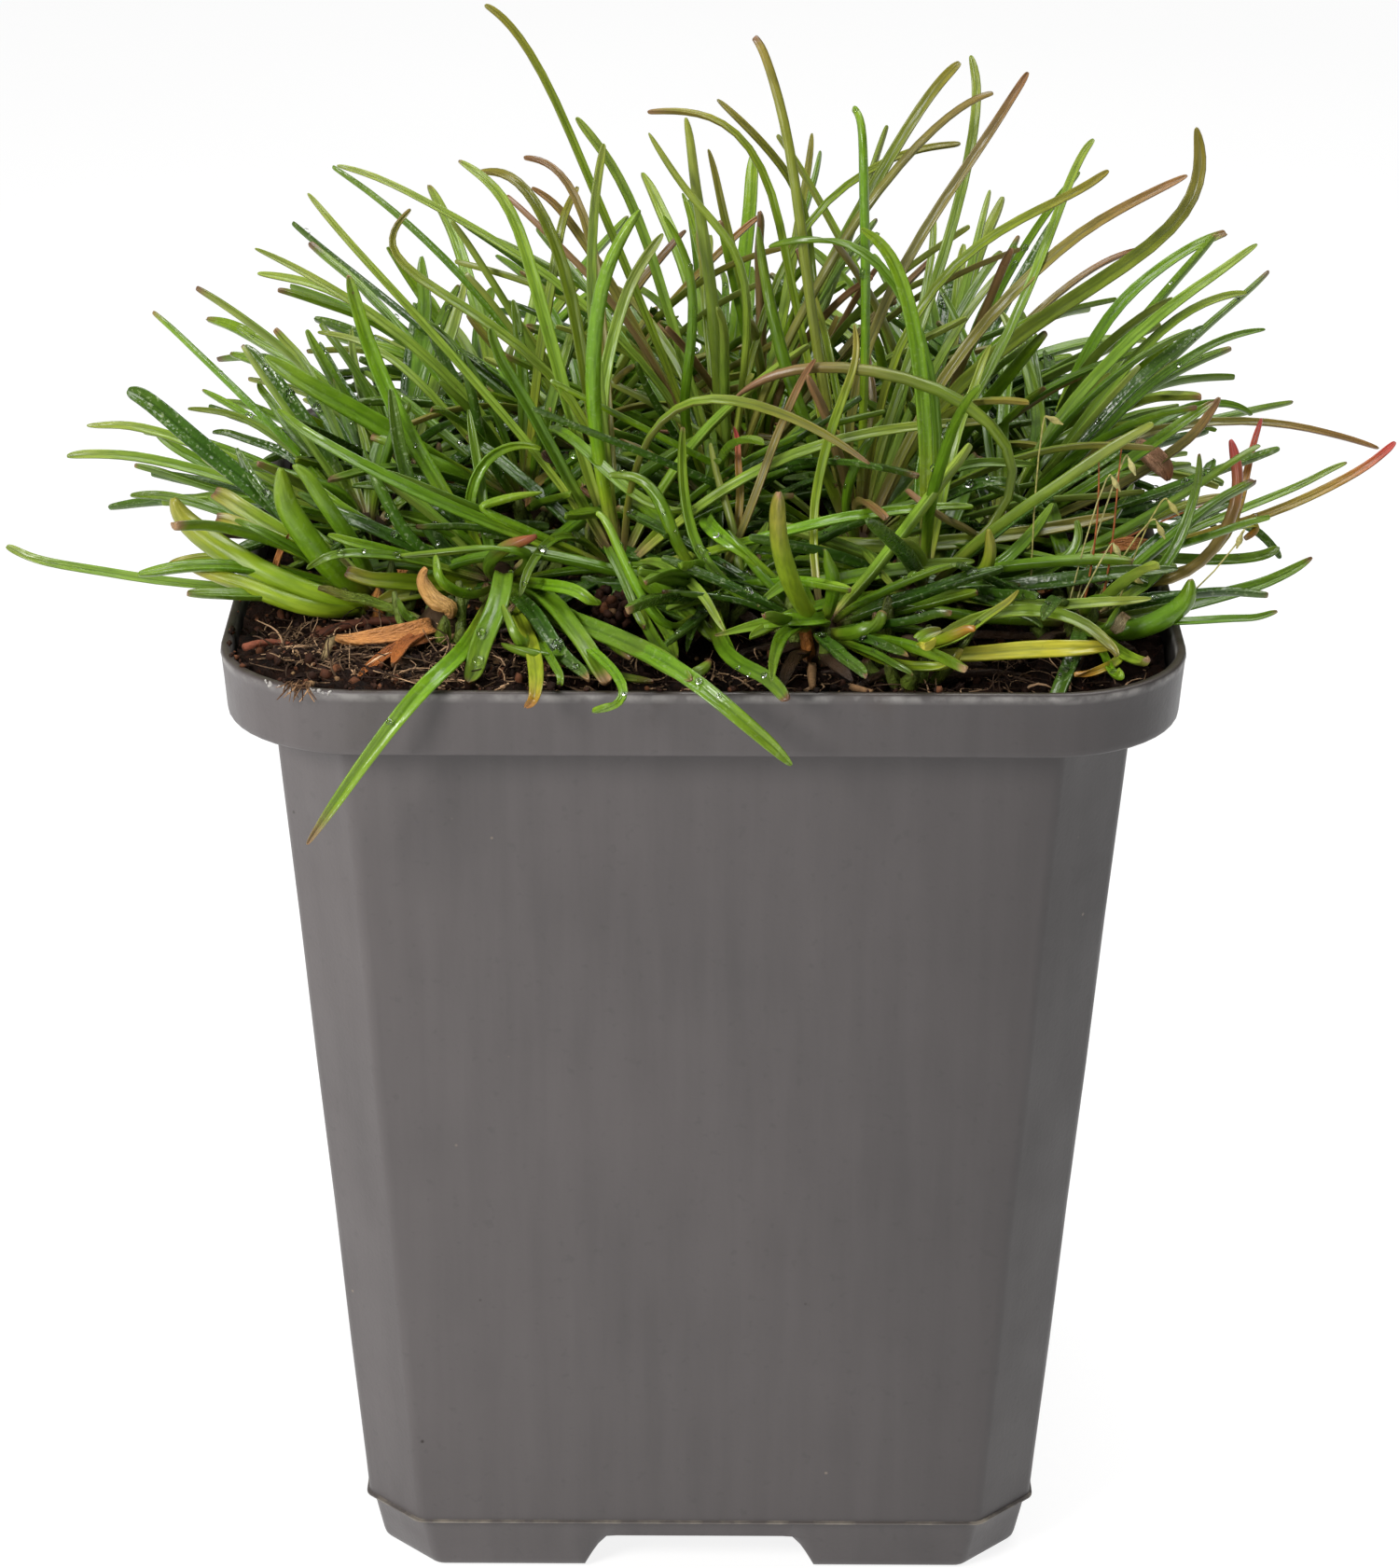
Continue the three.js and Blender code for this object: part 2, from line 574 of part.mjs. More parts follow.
    measured: [
      [1.1, [8.5, -3, 126.5], [3, 0, 136], [-6.5, 4, 143]],
      [1.3, [10, -11, 126.5], [7.5, -8, 143], [4.5, -5, 151]],
      [1.2, [15, -11, 135.5], [14, -7, 144.5]],
      [1.3, [19.5, -3, 117.5], [25, 0, 134.5], [25.5, 3, 147.5]],
      [1.3, [15.5, -9, 122], [24, -8, 138.5], [30.5, -6, 148]],
      [1.9, [28, -2, 119], [43, 1, 128.5], [47.5, 3, 140.5]],
      [1.5, [25, -6, 121], [35.5, -5, 131.5], [46.5, -2, 137]],
      [1.2, [20, -9, 125], [29.5, -8, 134], [38.5, -6, 138.5]],
      [1.3, [27.5, -8, 119], [33.5, -4, 133], [37.5, 0, 140]],
      [1.2, [29, -18, 104.5], [43, -21, 109.5], [55, -19, 114]],
      [1.3, [11.5, 1, 123], [7.5, 4, 134], [3, 7, 141]],
      [1.6, [9.5, -14, 116], [6.5, -12, 125.5], [5, -10, 134]],
      [1.2, [16, -20, 109.5], [15.5, -16, 118.5]],
      [1.4, [25.5, -18, 111], [30, -18, 110]],
      [1.3, [22, -14, 110.5], [32, -12, 111]],
    ],
  },
  {
    name: "tuft_front_right",
    at: [11, -31],
    colour: "green",
    drawn: { count: 5, faces: -76, fan: 115, rise: [10, 60], length: [13, 22], droop: 55, width: [1.5, 2.4] },
    measured: [
      [2.2, [7.5, -44, 111.5], [6.5, -57.5, 123.5]],
      [1.7, [12, -34, 106.5], [11, -34, 110]],
      [1.2, [15, -38, 102.5], [18.5, -43, 103]],
      [1.7, [10, -36, 104], [1, -38, 103]],
      [1.4, [2, -28, 107], [-0.5, -24, 119.5]],
      [1.6, [8.5, -32, 106], [5, -33, 104]],
      [1.8, [14.5, -37, 103], [16.5, -36, 104.5]],
      [1, [16, -40, 102], [19, -43, 101]],
      [1.2, [19.5, -41, 101], [23.5, -40, 102.5]],
      [1.2, [10.5, -24, 113.5], [13, -20, 120], [14, -17, 126.5]],
    ],
  },
  {
    name: "tuft_front_middle",
    at: [1, -24],
    colour: "green",
    drawn: { count: 4, faces: -90, fan: 150, rise: [10, 60], length: [14, 24], droop: 55, width: [1.5, 2.3] },
    measured: [
      [1.6, [3, -28, 104], [-3.5, -30, 102.5]],
      [1.8, [14.5, -26, 104.5], [25.5, -26, 106]],
      [1.9, [-1.5, -30, 104], [-4.5, -30, 108.5]],
      [1.6, [4, -24, 105.5], [6, -22, 108.5]],
      [1.8, [2, -38.5, 101.5], [5, -45.5, 102], [7.5, -49, 101]],
      [1.2, [2.5, -23, 107], [3.5, -21, 117.5]],
      [1.2, [-4, -36, 103.5], [-7, -34, 108.5], [-10, -31, 112.5]],
      [1.6, [-3, -26, 109], [-5, -24, 112.5], [-9, -23, 113.5]],
      [1.2, [-0.5, -30, 102], [-1.5, -36, 100.5]],
      [1.2, [2, -36, 101.5], [4, -41, 100.5]],
      [1, [2.5, -22, 112], [4.5, -20, 116.5]],
      [1.1, [5.5, -22, 112], [7.5, -20, 118], [10, -17, 124.5]],
    ],
  },
  {
    name: "tuft_right_front",
    at: [21, -22],
    colour: "green",
    drawn: { count: 6, faces: -30, fan: 160, rise: [15, 70], length: [18, 32], droop: 55, width: [1.4, 2.2] },
    measured: [
      [1.8, [20, -18, 125.5], [14.5, -16, 135.5]],
      [1.3, [22, -16, 118.5], [17, -14, 131], [6, -10, 132]],
      [1.6, [29, -20, 116.5], [18, -20, 121], [2.5, -17, 119]],
      [1.8, [26, -27, 105], [26.5, -28, 110]],
      [1.5, [31, -32, 104], [41.5, -33, 105]],
      [1.4, [33, -25, 105], [35, -24, 109.5]],
      [1.3, [23.5, -20, 115.5], [27, -17, 124.5]],
      [1.4, [28.5, -22, 108.5], [39.5, -18, 114.5]],
      [1.9, [33, -28, 103.5], [43.5, -26, 104.5]],
      [1.6, [28.5, -24, 105.5], [33, -22, 110.5]],
      [1.4, [26.5, -30, 104], [31.5, -33, 102]],
    ],
  },
  {
    name: "tuft_yellowing",
    at: [19, -35.5],
    colour: "yellow",
    drawn: { count: 1, faces: -20, fan: 60, rise: [12, 40], length: [12, 18], droop: 30, width: [1.6, 2.2] },
    measured: [
      [2.1, [30.5, -37, 101.5], [38, -37, 101.5]],
      [1.5, [28, -35, 104.5], [35, -36, 103.5], [38, -39, 101.5]],
      [1.2, [24.5, -36, 103], [29, -35, 106.5]],
      [1.7, [20, -36, 102], [22, -35, 102.5]],
    ],
  },
  {
    name: "tuft_corner_right",
    at: [35.5, -26],
    colour: "green",
    drawn: { count: 3, faces: -40, fan: 80, rise: [10, 55], length: [13, 24], droop: 55, width: [1.4, 2.2] },
    measured: [
      [2.6, [40, -30, 100.5], [44, -30, 102.5], [45.5, -29, 105.5]],
      [1.7, [49, -23, 101.5], [58, -20, 104.5]],
      [1, [46.5, -31, 102], [53.5, -31, 103]],
      [1.4, [44.5, -24, 106.5], [46.5, -22, 115.5]],
      [1.2, [39.5, -36, 100.5], [34, -40, 101]],
      [1, [36.5, -34, 102], [38.5, -33, 104]],
      [1.4, [37.5, -38, 101.5], [41, -40, 101]],
      [1, [37, -40, 101], [38.5, -41, 101]],
      [1.8, [42, -24, 100], [48.5, -22, 100]],
    ],
  },
  {
    name: "tuft_reddening",
    at: [35.8, -14],
    colour: "red",
    drawn: { count: 2, faces: 10, fan: 60, rise: [20, 50], length: [16, 24], droop: 40, width: [1.2, 1.7] },
    measured: [
      [1.6, [46.5, -17, 101.5], [51, -15, 107.5], [50.5, -13, 114]],
      [1.1, [48.5, -13, 101.5], [52.5, -10, 107.5], [54, -8, 114.5]],
      [1.2, [57.5, -10, 106.5], [67.5, -6, 111.5]],
      [1.1, [52.5, -6, 104.5], [63.5, -2, 108]],
      [1, [52, -8, 103.5], [53, -8, 102]],
    ],
  },
  {
    name: "tuft_right",
    at: [29, -6],
    colour: "green",
    drawn: { count: 8, faces: 10, fan: 100, rise: [12, 68], length: [20, 34], droop: 50, width: [1.2, 2] },
    measured: [
      [1.5, [36, -3, 114.5], [46, 2, 123], [54.5, 6, 128]],
      [1.3, [36, -3, 111], [44.5, 1, 120], [53.5, 4, 123.5]],
      [1.3, [37, -6, 110.5], [45, -3, 117.5], [55, 0, 121]],
      [1.6, [39.5, -7, 115], [48.5, -4, 122.5]],
      [1.2, [39, -1, 109], [52.5, 2, 111], [67.5, 4, 107.5]],
      [1.3, [49, -5, 103.5], [57, -5, 99]],
      [1.3, [46, 3, 111], [55, 7, 110]],
      [1.3, [44, -6, 109], [50.5, -3, 115]],
      [1, [23.5, -24, 109], [19, -23, 112]],
      [1.4, [48.5, -10, 102.5], [55.5, -10, 100]],
      [1.8, [45, -8, 106.5], [50, -4, 109]],
      [1.5, [40, -10, 110], [49.5, -6, 115.5]],
      [1.1, [32.5, -14, 107.5], [33.5, -14, 108]],
      [1, [40.5, -18, 103.5], [45, -16, 103.5]],
    ],
  },
  {
    name: "tuft_withered",
    at: [-25, -29],
    colour: "brown",
    drawn: { count: 2, faces: -130, fan: 70, rise: [8, 20], length: [8, 13], droop: 30, width: [1.2, 1.8] },
    measured: [
      [2.1, [-24, -29.5, 102.5], [-26, -29, 104], [-26, -28, 106]],
      [2.1, [-26, -32.5, 101.5], [-29.5, -34.5, 101.5], [-34, -36, 102]],
      [1.4, [-26.5, -34.5, 101], [-29, -37.5, 101], [-31.5, -41, 100]],
      [1, [-27.5, -31, 102], [-28.5, -31, 104]],
    ],
  },
  {
    name: "tuft_back_left",
    at: [-31, 14],
    colour: "green",
    drawn: { count: 13, faces: 160, fan: 95, rise: [8, 62], length: [18, 32], droop: 60, width: [1.3, 2.2] },
  },
  {
    name: "tuft_middle_left",
    at: [-12, 17],
    colour: "olive",
    drawn: { count: 11, faces: 110, fan: 180, rise: [25, 80], length: [22, 40], droop: 65, width: [0.9, 1.5] },
  },
  {
    name: "tuft_middle_back",
    at: [6, 13],
    colour: "olive",
    drawn: { count: 12, faces: 80, fan: 180, rise: [30, 82], length: [26, 46], droop: 65, width: [0.9, 1.4] },
  },
  {
    name: "tuft_middle_right",
    at: [22, 8],
    colour: "olive",
    drawn: { count: 11, faces: 20, fan: 180, rise: [24, 80], length: [24, 44], droop: 65, width: [0.9, 1.5] },
  },
  {
    name: "tuft_back_right",
    at: [35, 17],
    colour: "green",
    drawn: { count: 12, faces: 35, fan: 95, rise: [10, 66], length: [20, 36], droop: 60, width: [1.2, 2.1] },
  },
  {
    name: "tuft_corner_left",
    at: [-22, 33],
    colour: "green",
    drawn: { count: 13, faces: 120, fan: 95, rise: [8, 62], length: [18, 33], droop: 60, width: [1.3, 2.1] },
  },
  {
    name: "tuft_back",
    at: [2, 32],
    colour: "green",
    drawn: { count: 13, faces: 90, fan: 110, rise: [10, 70], length: [20, 38], droop: 60, width: [1.2, 2.1] },
  },
  {
    name: "tuft_corner_back",
    at: [25, 32],
    colour: "green",
    drawn: { count: 13, faces: 60, fan: 95, rise: [8, 66], length: [18, 36], droop: 60, width: [1.2, 2.1] },
  },
];

// Building

const potPart = potSolid();
const crowns = tufts.map(crownSolid);
const soilPart = soilSolid(tufts.map(crownHole));

const obstacles = [potPart, soilPart].map((solid) => ({ solid, box: solid.boundingBox(), tuft: null }));
tufts.forEach((tuft, i) => {
  obstacles.push({ solid: crowns[i], box: crowns[i].boundingBox(), tuft });
  tuft.pieces = [crowns[i]];
});

function grow(tuft, number, make) {
  const draw = drawer(1000 * tufts.indexOf(tuft) + number + 1);
  for (let attempt = 0; attempt < TRIES; attempt++) {
    const leaf = make(draw, attempt);
    const solid = leafSolid(leaf);
    if (solid && inReach(leaf.points[3]) && isClear(solid, tuft, obstacles)) {
      obstacles.push({ solid, box: solid.boundingBox(), tuft });
      tuft.pieces.push(solid);
      return true;
    }
  }
  return false;
}

for (const tuft of tufts)
  (tuft.measured ?? []).forEach((row, i) => {
    grow(tuft, 500 + i, (draw, attempt) => measuredLeaf(tuft, row, draw, attempt));
  });
for (const tuft of tufts)
  for (let i = 0; i < tuft.drawn.count; i++) grow(tuft, i, (draw) => drawnLeaf(tuft, i, draw));

const plant = new THREE.Group();
const leafColours = { tuft_reddening: 0x8c6e46, tuft_yellowing: 0xc8c04a, tuft_withered: 0xb4783f };
const leafGreen = 0x4f7a2a;
for (const tuft of tufts) {
  const whole = wasm.Manifold.union(tuft.pieces).simplify(0.03);
  const color = leafColours[tuft.name] ?? leafGreen;
  const skin = new THREE.MeshStandardMaterial({ color, roughness: 0.5, metalness: 0 });
  const mesh = new THREE.Mesh(geometryOf(whole), skin);
  mesh.name = tuft.name;
  plant.add(mesh);
}

const potMesh = new THREE.Mesh(
  geometryOf(potPart),
  new THREE.MeshStandardMaterial({ color: 0x6b6868, roughness: 0.5, metalness: 0 }),
);
potMesh.name = "pot";
const soilMesh = new THREE.Mesh(
  geometryOf(soilPart),
  new THREE.MeshStandardMaterial({ color: 0x2a1c14, roughness: 1, metalness: 0 }),
);
soilMesh.name = "soil";

const pottedThrift = new THREE.Group();
pottedThrift.add(potMesh, soilMesh, plant);

export default pottedThrift;
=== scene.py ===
"""The look of a potted sea thrift: a grey nursery pot of peat with a loose cushion of narrow leaves.

The plant and its pot are worked out in millimetres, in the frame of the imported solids, and turned into metres
last. Finishes, lights and floor are in metres from the start.
"""

import math
from functools import partial

import bmesh
import bpy
from mathutils import Euler, Matrix, Vector, kdtree, noise


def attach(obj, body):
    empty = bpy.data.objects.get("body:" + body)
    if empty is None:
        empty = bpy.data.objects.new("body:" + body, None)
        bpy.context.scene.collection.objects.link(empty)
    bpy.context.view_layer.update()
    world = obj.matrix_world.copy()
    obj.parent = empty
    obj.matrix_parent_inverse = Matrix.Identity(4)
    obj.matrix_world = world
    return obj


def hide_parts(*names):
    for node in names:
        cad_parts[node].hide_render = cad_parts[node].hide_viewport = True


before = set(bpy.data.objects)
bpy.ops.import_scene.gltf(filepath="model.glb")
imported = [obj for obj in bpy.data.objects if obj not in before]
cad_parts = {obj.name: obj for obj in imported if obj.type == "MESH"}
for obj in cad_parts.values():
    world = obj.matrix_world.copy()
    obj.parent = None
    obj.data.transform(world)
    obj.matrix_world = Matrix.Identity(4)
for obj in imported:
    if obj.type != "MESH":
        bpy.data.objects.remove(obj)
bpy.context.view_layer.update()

MM = 0.001

# Pot
POT_HEIGHT = 100
FLOOR_UNDERSIDE = 4.0
NOTCH_TOP = FLOOR_UNDERSIDE - 0.04
NOTCH_LOW = 11.6
NOTCH_HIGH = 8.4
DRAIN_RADIUS = 4
DRAIN_SPACING = 18
CORNER_STEPS = 6
HALF_STOPS = (12.4, 11.6, 11.2, 10.8, 10.2, 9.4, 8.4, 4)
SIDE_STOPS = (*HALF_STOPS, 0, *(-stop for stop in reversed(HALF_STOPS)))

# Each row is the height, the width, how far the corners are cut back, and how roundly. The rows run from
# the middle of the floor's underside, round the foot, up the outside, over the rim and down the inside.
POT_PROFILE = (
    (4.0, 0.5, 0.1, 0.1),
    (4.0, 58.0, 5.0, 1.6),
    (3.9, 62.2, 5.4, 1.6),
    (3.5, 62.5, 5.4, 1.6),
    (0.4, 61.7, 5.4, 1.6),
    (0.08, 61.9, 5.4, 1.6),
    (0.0, 62.4, 5.4, 1.6),
    (0.0, 63.3, 5.5, 1.6),
    (0.12, 63.9, 5.5, 1.6),
    (0.45, 64.4, 5.6, 1.7),
    (1.0, 64.7, 5.6, 1.7),
    (3.4, 65.6, 5.6, 1.7),
    (5.6, 66.4, 5.6, 1.7),
    (5.85, 66.6, 5.6, 1.7),
    (5.92, 67.3, 5.6, 1.7),
    (6.0, 67.75, 5.6, 1.7),
    (6.14, 67.75, 5.6, 1.7),
    (6.22, 67.3, 5.6, 1.7),
    (6.6, 67.3, 5.6, 1.7),
    (10.0, 67.8, 5.7, 1.7),
    (24.0, 70.0, 5.9, 1.7),
    (40.0, 72.3, 6.2, 1.7),
    (56.0, 74.8, 6.4, 1.7),
    (72.0, 77.1, 6.7, 1.7),
    (86.0, 79.3, 6.9, 1.7),
    (92.6, 80.3, 7.0, 1.7),
    (93.3, 80.5, 7.0, 1.7),
    (93.5, 81.2, 7.0, 1.7),
    (93.52, 86.0, 7.4, 11.0),
    (93.52, 88.3, 7.6, 12.5),
    (93.62, 88.8, 7.6, 12.8),
    (93.85, 89.05, 7.6, 13.0),
    (94.3, 89.15, 7.6, 13.0),
    (97.0, 89.5, 7.6, 13.0),
    (99.2, 89.85, 7.6, 13.0),
    (99.5, 90.0, 7.6, 13.0),
    (99.82, 89.95, 7.6, 13.0),
    (99.97, 89.7, 7.6, 13.0),
    (100.0, 89.3, 7.6, 12.9),
    (99.97, 88.7, 7.5, 12.6),
    (99.8, 88.3, 7.4, 12.3),
    (99.4, 88.1, 7.3, 12.2),
    (96.5, 87.6, 7.3, 12.0),
    (94.8, 87.1, 7.2, 12.0),
    (94.55, 86.6, 7.2, 11.8),
    (94.5, 85.0, 7.0, 11.0),
    (94.5, 79.6, 6.6, 1.7),
    (94.2, 78.7, 6.6, 1.7),
    (92.0, 78.1, 6.5, 1.7),
    (50.0, 71.9, 6.0, 1.7),
    (6.0, 65.2, 5.4, 1.6),
    (5.2, 64.0, 5.2, 1.6),
    (5.2, 0.5, 0.1, 0.1),
)

# Where the seam and the worn lip begin, are full, begin to fade and end, in metres above the ground.
SEAM_HEIGHTS = (0.00588, 0.00596, 0.00622, 0.00632)
LIP_HEIGHTS = (0.0989, 0.0995, 0.0997, 0.0999)

# Soil. A hump is a smooth rise or dip: its place, its height and how wide it spreads.
SOIL_LEVEL = 97.1
SOIL_MOUND = 1.6
SOIL_MOUND_REACH = 46
SOIL_HALF = 43.5
SOIL_CORNER = 12
SOIL_CELLS = 150
SOIL_SIDES = ((95.0, 43.4), (94.9, 39.0), (93.0, 38.8), (6.0, 32.3), (5.6, 31.8))
SLUMP = ((38, -38), -1.6, 90)
HEAP = ((-40, -38), 2.3, 700)
HEAP_BASE = 0.4

# Litter on the soil. A size or length is drawn: the least, how much more it may be, and the power that makes
# large ones rare. A corner is where litter is thicker at the left front: how far out, how wide and how deep.
CRUMBS = 3200
CRUMB_REACH = 42.4
CRUMB_EDGE = 42.5
CRUMB_CORNER = (42, 30, 18)
CRUMB_SIZE = (0.14, 0.6, 3)
RIM_CRUMBS = 90
RIM_CRUMB_SIZE = (0.14, 0.32, 2)
RIM_CHIPS = 22
CHIP_SIZE = (0.1, 0.16, 1)
RIM_MIDDLE = 44.8
RIM_CORNER = 12.5
CLUMP = (-8.4, -27.5, 101.4)
CLUMP_RADIUS = 2.3
CLUMP_CRUMBS = 90
CLUMP_CRUMB_SIZE = (0.35, 0.5, 1)
FIBRES = 1700
FIBRE_REACH = 41.5
FIBRE_EDGE = 42
FIBRE_STRIP = 10
FIBRE_CORNER = (41.5, 28, 14)
FIBRE_RISE = 1.9
FIBRE_LENGTH = (2, 6, 1.5)
FIBRE_THICKNESS = (0.12, 0.2, 2)
RIM_FIBRES = 26
RIM_FIBRE_THICKNESS = (0.12, 0.14, 1)
RIM_TUFT = (-36.6, -44.2, 100.2)
SLIVERS = 40
SLIVER_REACH = 40
SLIVER_LENGTH = (2, 4.5, 1)
SLIVER_THICKNESS = (0.5, 0.8, 1)
STRAND_RINGS = (0.2, 0.4, 0.6, 0.8, 0.88, 0.93, 0.97)
# Bits of wood at the left front: the thickness and colour of each, and the places that it runs through.
WOOD_PIECES = (
    (
        0.95, (168, 146, 104),
        (-34.6, -33, 100.6), (-34.8, -34.4, 100.4), (-35.2, -36.2, 99.8), (-35.3, -37.8, 98.8),
    ),
    (0.4, (150, 100, 66), (-39, -36, 98.8), (-37, -35.6, 99.8), (-35, -35.4, 99.6), (-33, -36, 98.8)),
    (
        0.8, (146, 84, 62),
        (-42.6, -34.6, 100.3), (-41, -33.2, 100.6), (-39.2, -32.6, 100.3), (-37.4, -32, 99.2),
    ),
    (1.1, (84, 46, 30), (-36.6, -30.6, 99.8), (-34, -29.4, 100.9), (-30.6, -29, 101.2), (-27, -29, 101)),
)
# Moss stalks: where each leaves the soil, and its top.
MOSS_STALKS = (
    ((34, -26), (39.3, -28, 117)),
    ((33.5, -27), (37.8, -28, 115.2)),
    ((38, -26), (43.1, -28, 112.9)),
    ((41, -24), (50.2, -28, 109.8)),
    ((33, -27), (38, -30, 109.3)),
    ((31, -25), (31.5, -28, 121)),
    ((34, -26), (40, -28, 105.3)),
    ((35, -24), (42.2, -28, 110.7)),
)
STALK_THICKNESS = 0.17
CAPSULE_PART = 0.6
CAPSULE_SWELL = (0.5, 0.28, 3.2)
# Dead orange leaf threads: the places that each runs through.
ORANGE_THREADS = (
    ((35.4, -26, 100), (36.6, -28, 106), (36.9, -28, 112), (36.5, -28, 117.4)),
    ((37, -26, 100), (38.4, -28, 106), (38.2, -28, 112), (38.6, -28, 117.8)),
    ((36, -17, 102.6), (40, -15, 104.4), (44.5, -12, 105.6), (49, -10, 106.4)),
)
THREAD_THICKNESS = 0.26
# Papery scraps among the leaves: the places that each runs through, its width and its colour.
SCRAPS = (
    (((42, -7, 111.4), (43.6, -6.4, 110.4), (45, -6, 109), (45.4, -6, 107.4)), 2.8, "papery"),
    (((37.4, -16, 103.4), (39.6, -16.4, 104.6), (42, -16.4, 104.9), (44, -15.6, 104.2)), 1.6, "rust"),
    (((35, -22, 102), (36.4, -22.4, 103.2), (38, -22.4, 103.2), (39, -22, 101.9)), 1.6, "husk"),
    (((-46.6, -20, 106.4), (-45.4, -20.4, 106.5), (-44.2, -20.2, 106.4), (-43.4, -20, 106)), 1.2, "husk"),
    (((-40.2, -24, 103.6), (-40.6, -24, 105), (-40, -24, 106.6), (-39, -24, 107.8)), 0.9, "rust"),
    (((-15.4, -14, 112.9), (-14.9, -14.2, 112.4), (-14.4, -14.2, 111.8), (-13.9, -14, 111.2)), 1.4, "husk"),
    (((38, -32.4, 101.4), (38.6, -32.2, 102), (39, -32, 102.5), (39.4, -31.8, 103)), 1.5, "straw"),
    (((-30.5, -38.6, 99.6), (-29, -38, 100.2), (-27.4, -37.6, 100.4), (-25.8, -37.4, 100)), 1.8, "husk"),
)
# The darkest and the palest shade of each kind of litter, and of a leaf's brown tip, in sRGB from 0 to 255.
SHADES = {
    "dark crumb": ((22, 11, 6), (62, 34, 20)),
    "brown crumb": ((84, 48, 30), (124, 78, 50)),
    "straw crumb": ((134, 100, 68), (172, 138, 98)),
    "chip": ((150, 146, 142), (226, 222, 216)),
    "fibre": ((36, 18, 10), (238, 194, 150)),
    "rim fibre": ((60, 34, 20), (206, 160, 116)),
    "sliver": ((104, 76, 52), (170, 132, 92)),
    "moss": ((176, 166, 84), (214, 206, 140)),
    "burnt tip": ((96, 62, 40), (150, 120, 84)),
}
CORE_SHADE = (66, 50, 32)
THREAD_SHADE = (182, 104, 60)
FOOT_SHADE = (150, 126, 92)

# Crowns and leaves
CROWN_RADIUS = 3.7
CROWN_HEIGHT = 7
# The woody core of a crown, as radius and height above the crown's base.
CORE_PROFILE = ((0, -6), (1.7, -6), (2.6, 0.2), (2.5, 2), (1.8, 3.8), (0.8, 4.9), (0, 5.1))
SHEATHS = 22
LOW_SHEATH_SHARE = 0.45
# A leaf is half as thick as it is wide, but no thinner than the least keel.
KEEL_SHARE = 0.5
LEAST_KEEL = 0.75
# The width that is built is this share of the measured one, less this.
WIDTH_SHARE = 1.02
WIDTH_LESS = 0.16
TIP_ROUNDING = 1.6
LAST_RING = 0.985
LEAF_RINGS = (0.13, 0.27, 0.41, 0.55, 0.69, 0.8, 0.88, 0.94, LAST_RING)
SHEATH_RINGS = (0.3, 0.6, 0.85)
LEAF_MEASURES = ("along", "across", "up", "wet", "own", "blush")
# The way to the camera, and how far a measured leaf turns its broad side there.
FRONT = Vector((0, -0.925, 0.38))
FACING = 0.7
# A leaf that its tuft's solid doesn't hold stays inside this reach and clear of the pot's rim.
REACH_X = 67.0
REACH_Y = 57.4
REACH_Z = 152.5
RIM_INSIDE = 41
RIM_CLEARANCE = 1.2
SOIL_CLEARANCE = 0.8
# Places that stay open to the front, each with its radius: bare peat and the withered leaves.
OPEN_PLACES = (
    ((-34, -37, 100.5), 9.5),
    ((-26, -31, 104), 5.5),
    ((-8.4, -29, 102), 3.5),
    ((30, -36, 101), 5.0),
)

# Seeds. A tuft's are a thousand for each tuft before it, with these added for each way to make a leaf.
TUFT_SEEDS = 1000
MEASURED_FROM = 501
DRAWN_FROM = 1
INNER_FROM = 2001
LOW_FROM = 3001
CRUMB_SEED = 77
FIBRE_SEED = 555
SLIVER_SEED = 808
MOSS_SEED = 313
DROP_SEED = 4242
SHEATH_SEED = 90000
SHEATH_DRESS_SEED = 91000
SCRAP_SEED = 96000
# A tuft's solid holds one of so many tries at a leaf, known by its tip to within so many millimetres.
TRIES = 9
TIP_MATCH = 0.06

# How many inner leaves go with a drawn one, and how many low ones with a tuft: seen, and hidden.
INNER_SHARE = (0.85, 1.7)
LOW_LEAVES = (12, 16)
LOW_RULE = {
    "count": 16,
    "fan": 180,
    "rise": (4, 42),
    "length": (13, 25),
    "droop": 40,
    "width": (1.4, 2.4),
}
LOW_TONES = ("wet", "green", "wet", "bright", "wet", "green")

# Stage, light and camera. The camera's figures were found from the pot's edges in the photograph.
FLOOR_HALF = 8.0
FLOOR_LEVEL = -0.0002
FLOOR_GLOW = 0.85
SKY_LEFT = 0.46
SKY_RIGHT = 0.04
LIGHT_TARGET = (0, 0, 0.09)
# Each light's name, place in metres, size, power and colour.
LIGHTS = (
    ("left_front_key", (-0.26, -0.32, 0.3), 0.16, 1.7, (1.0, 0.985, 0.96)),
    ("overhead", (0.12, 0.06, 0.6), 0.4, 2.6, (1.0, 1.0, 0.99)),
)
PHOTO_HEIGHT = 1681
FOCAL_PIXELS = 4895
SENSOR = 36
NEAREST_SEEN = 0.01
CAMERA_PLACE = (-0.31, -430.7, 249.8)
CAMERA_PITCH = 22.36
CAMERA_ROLL = 0.0043

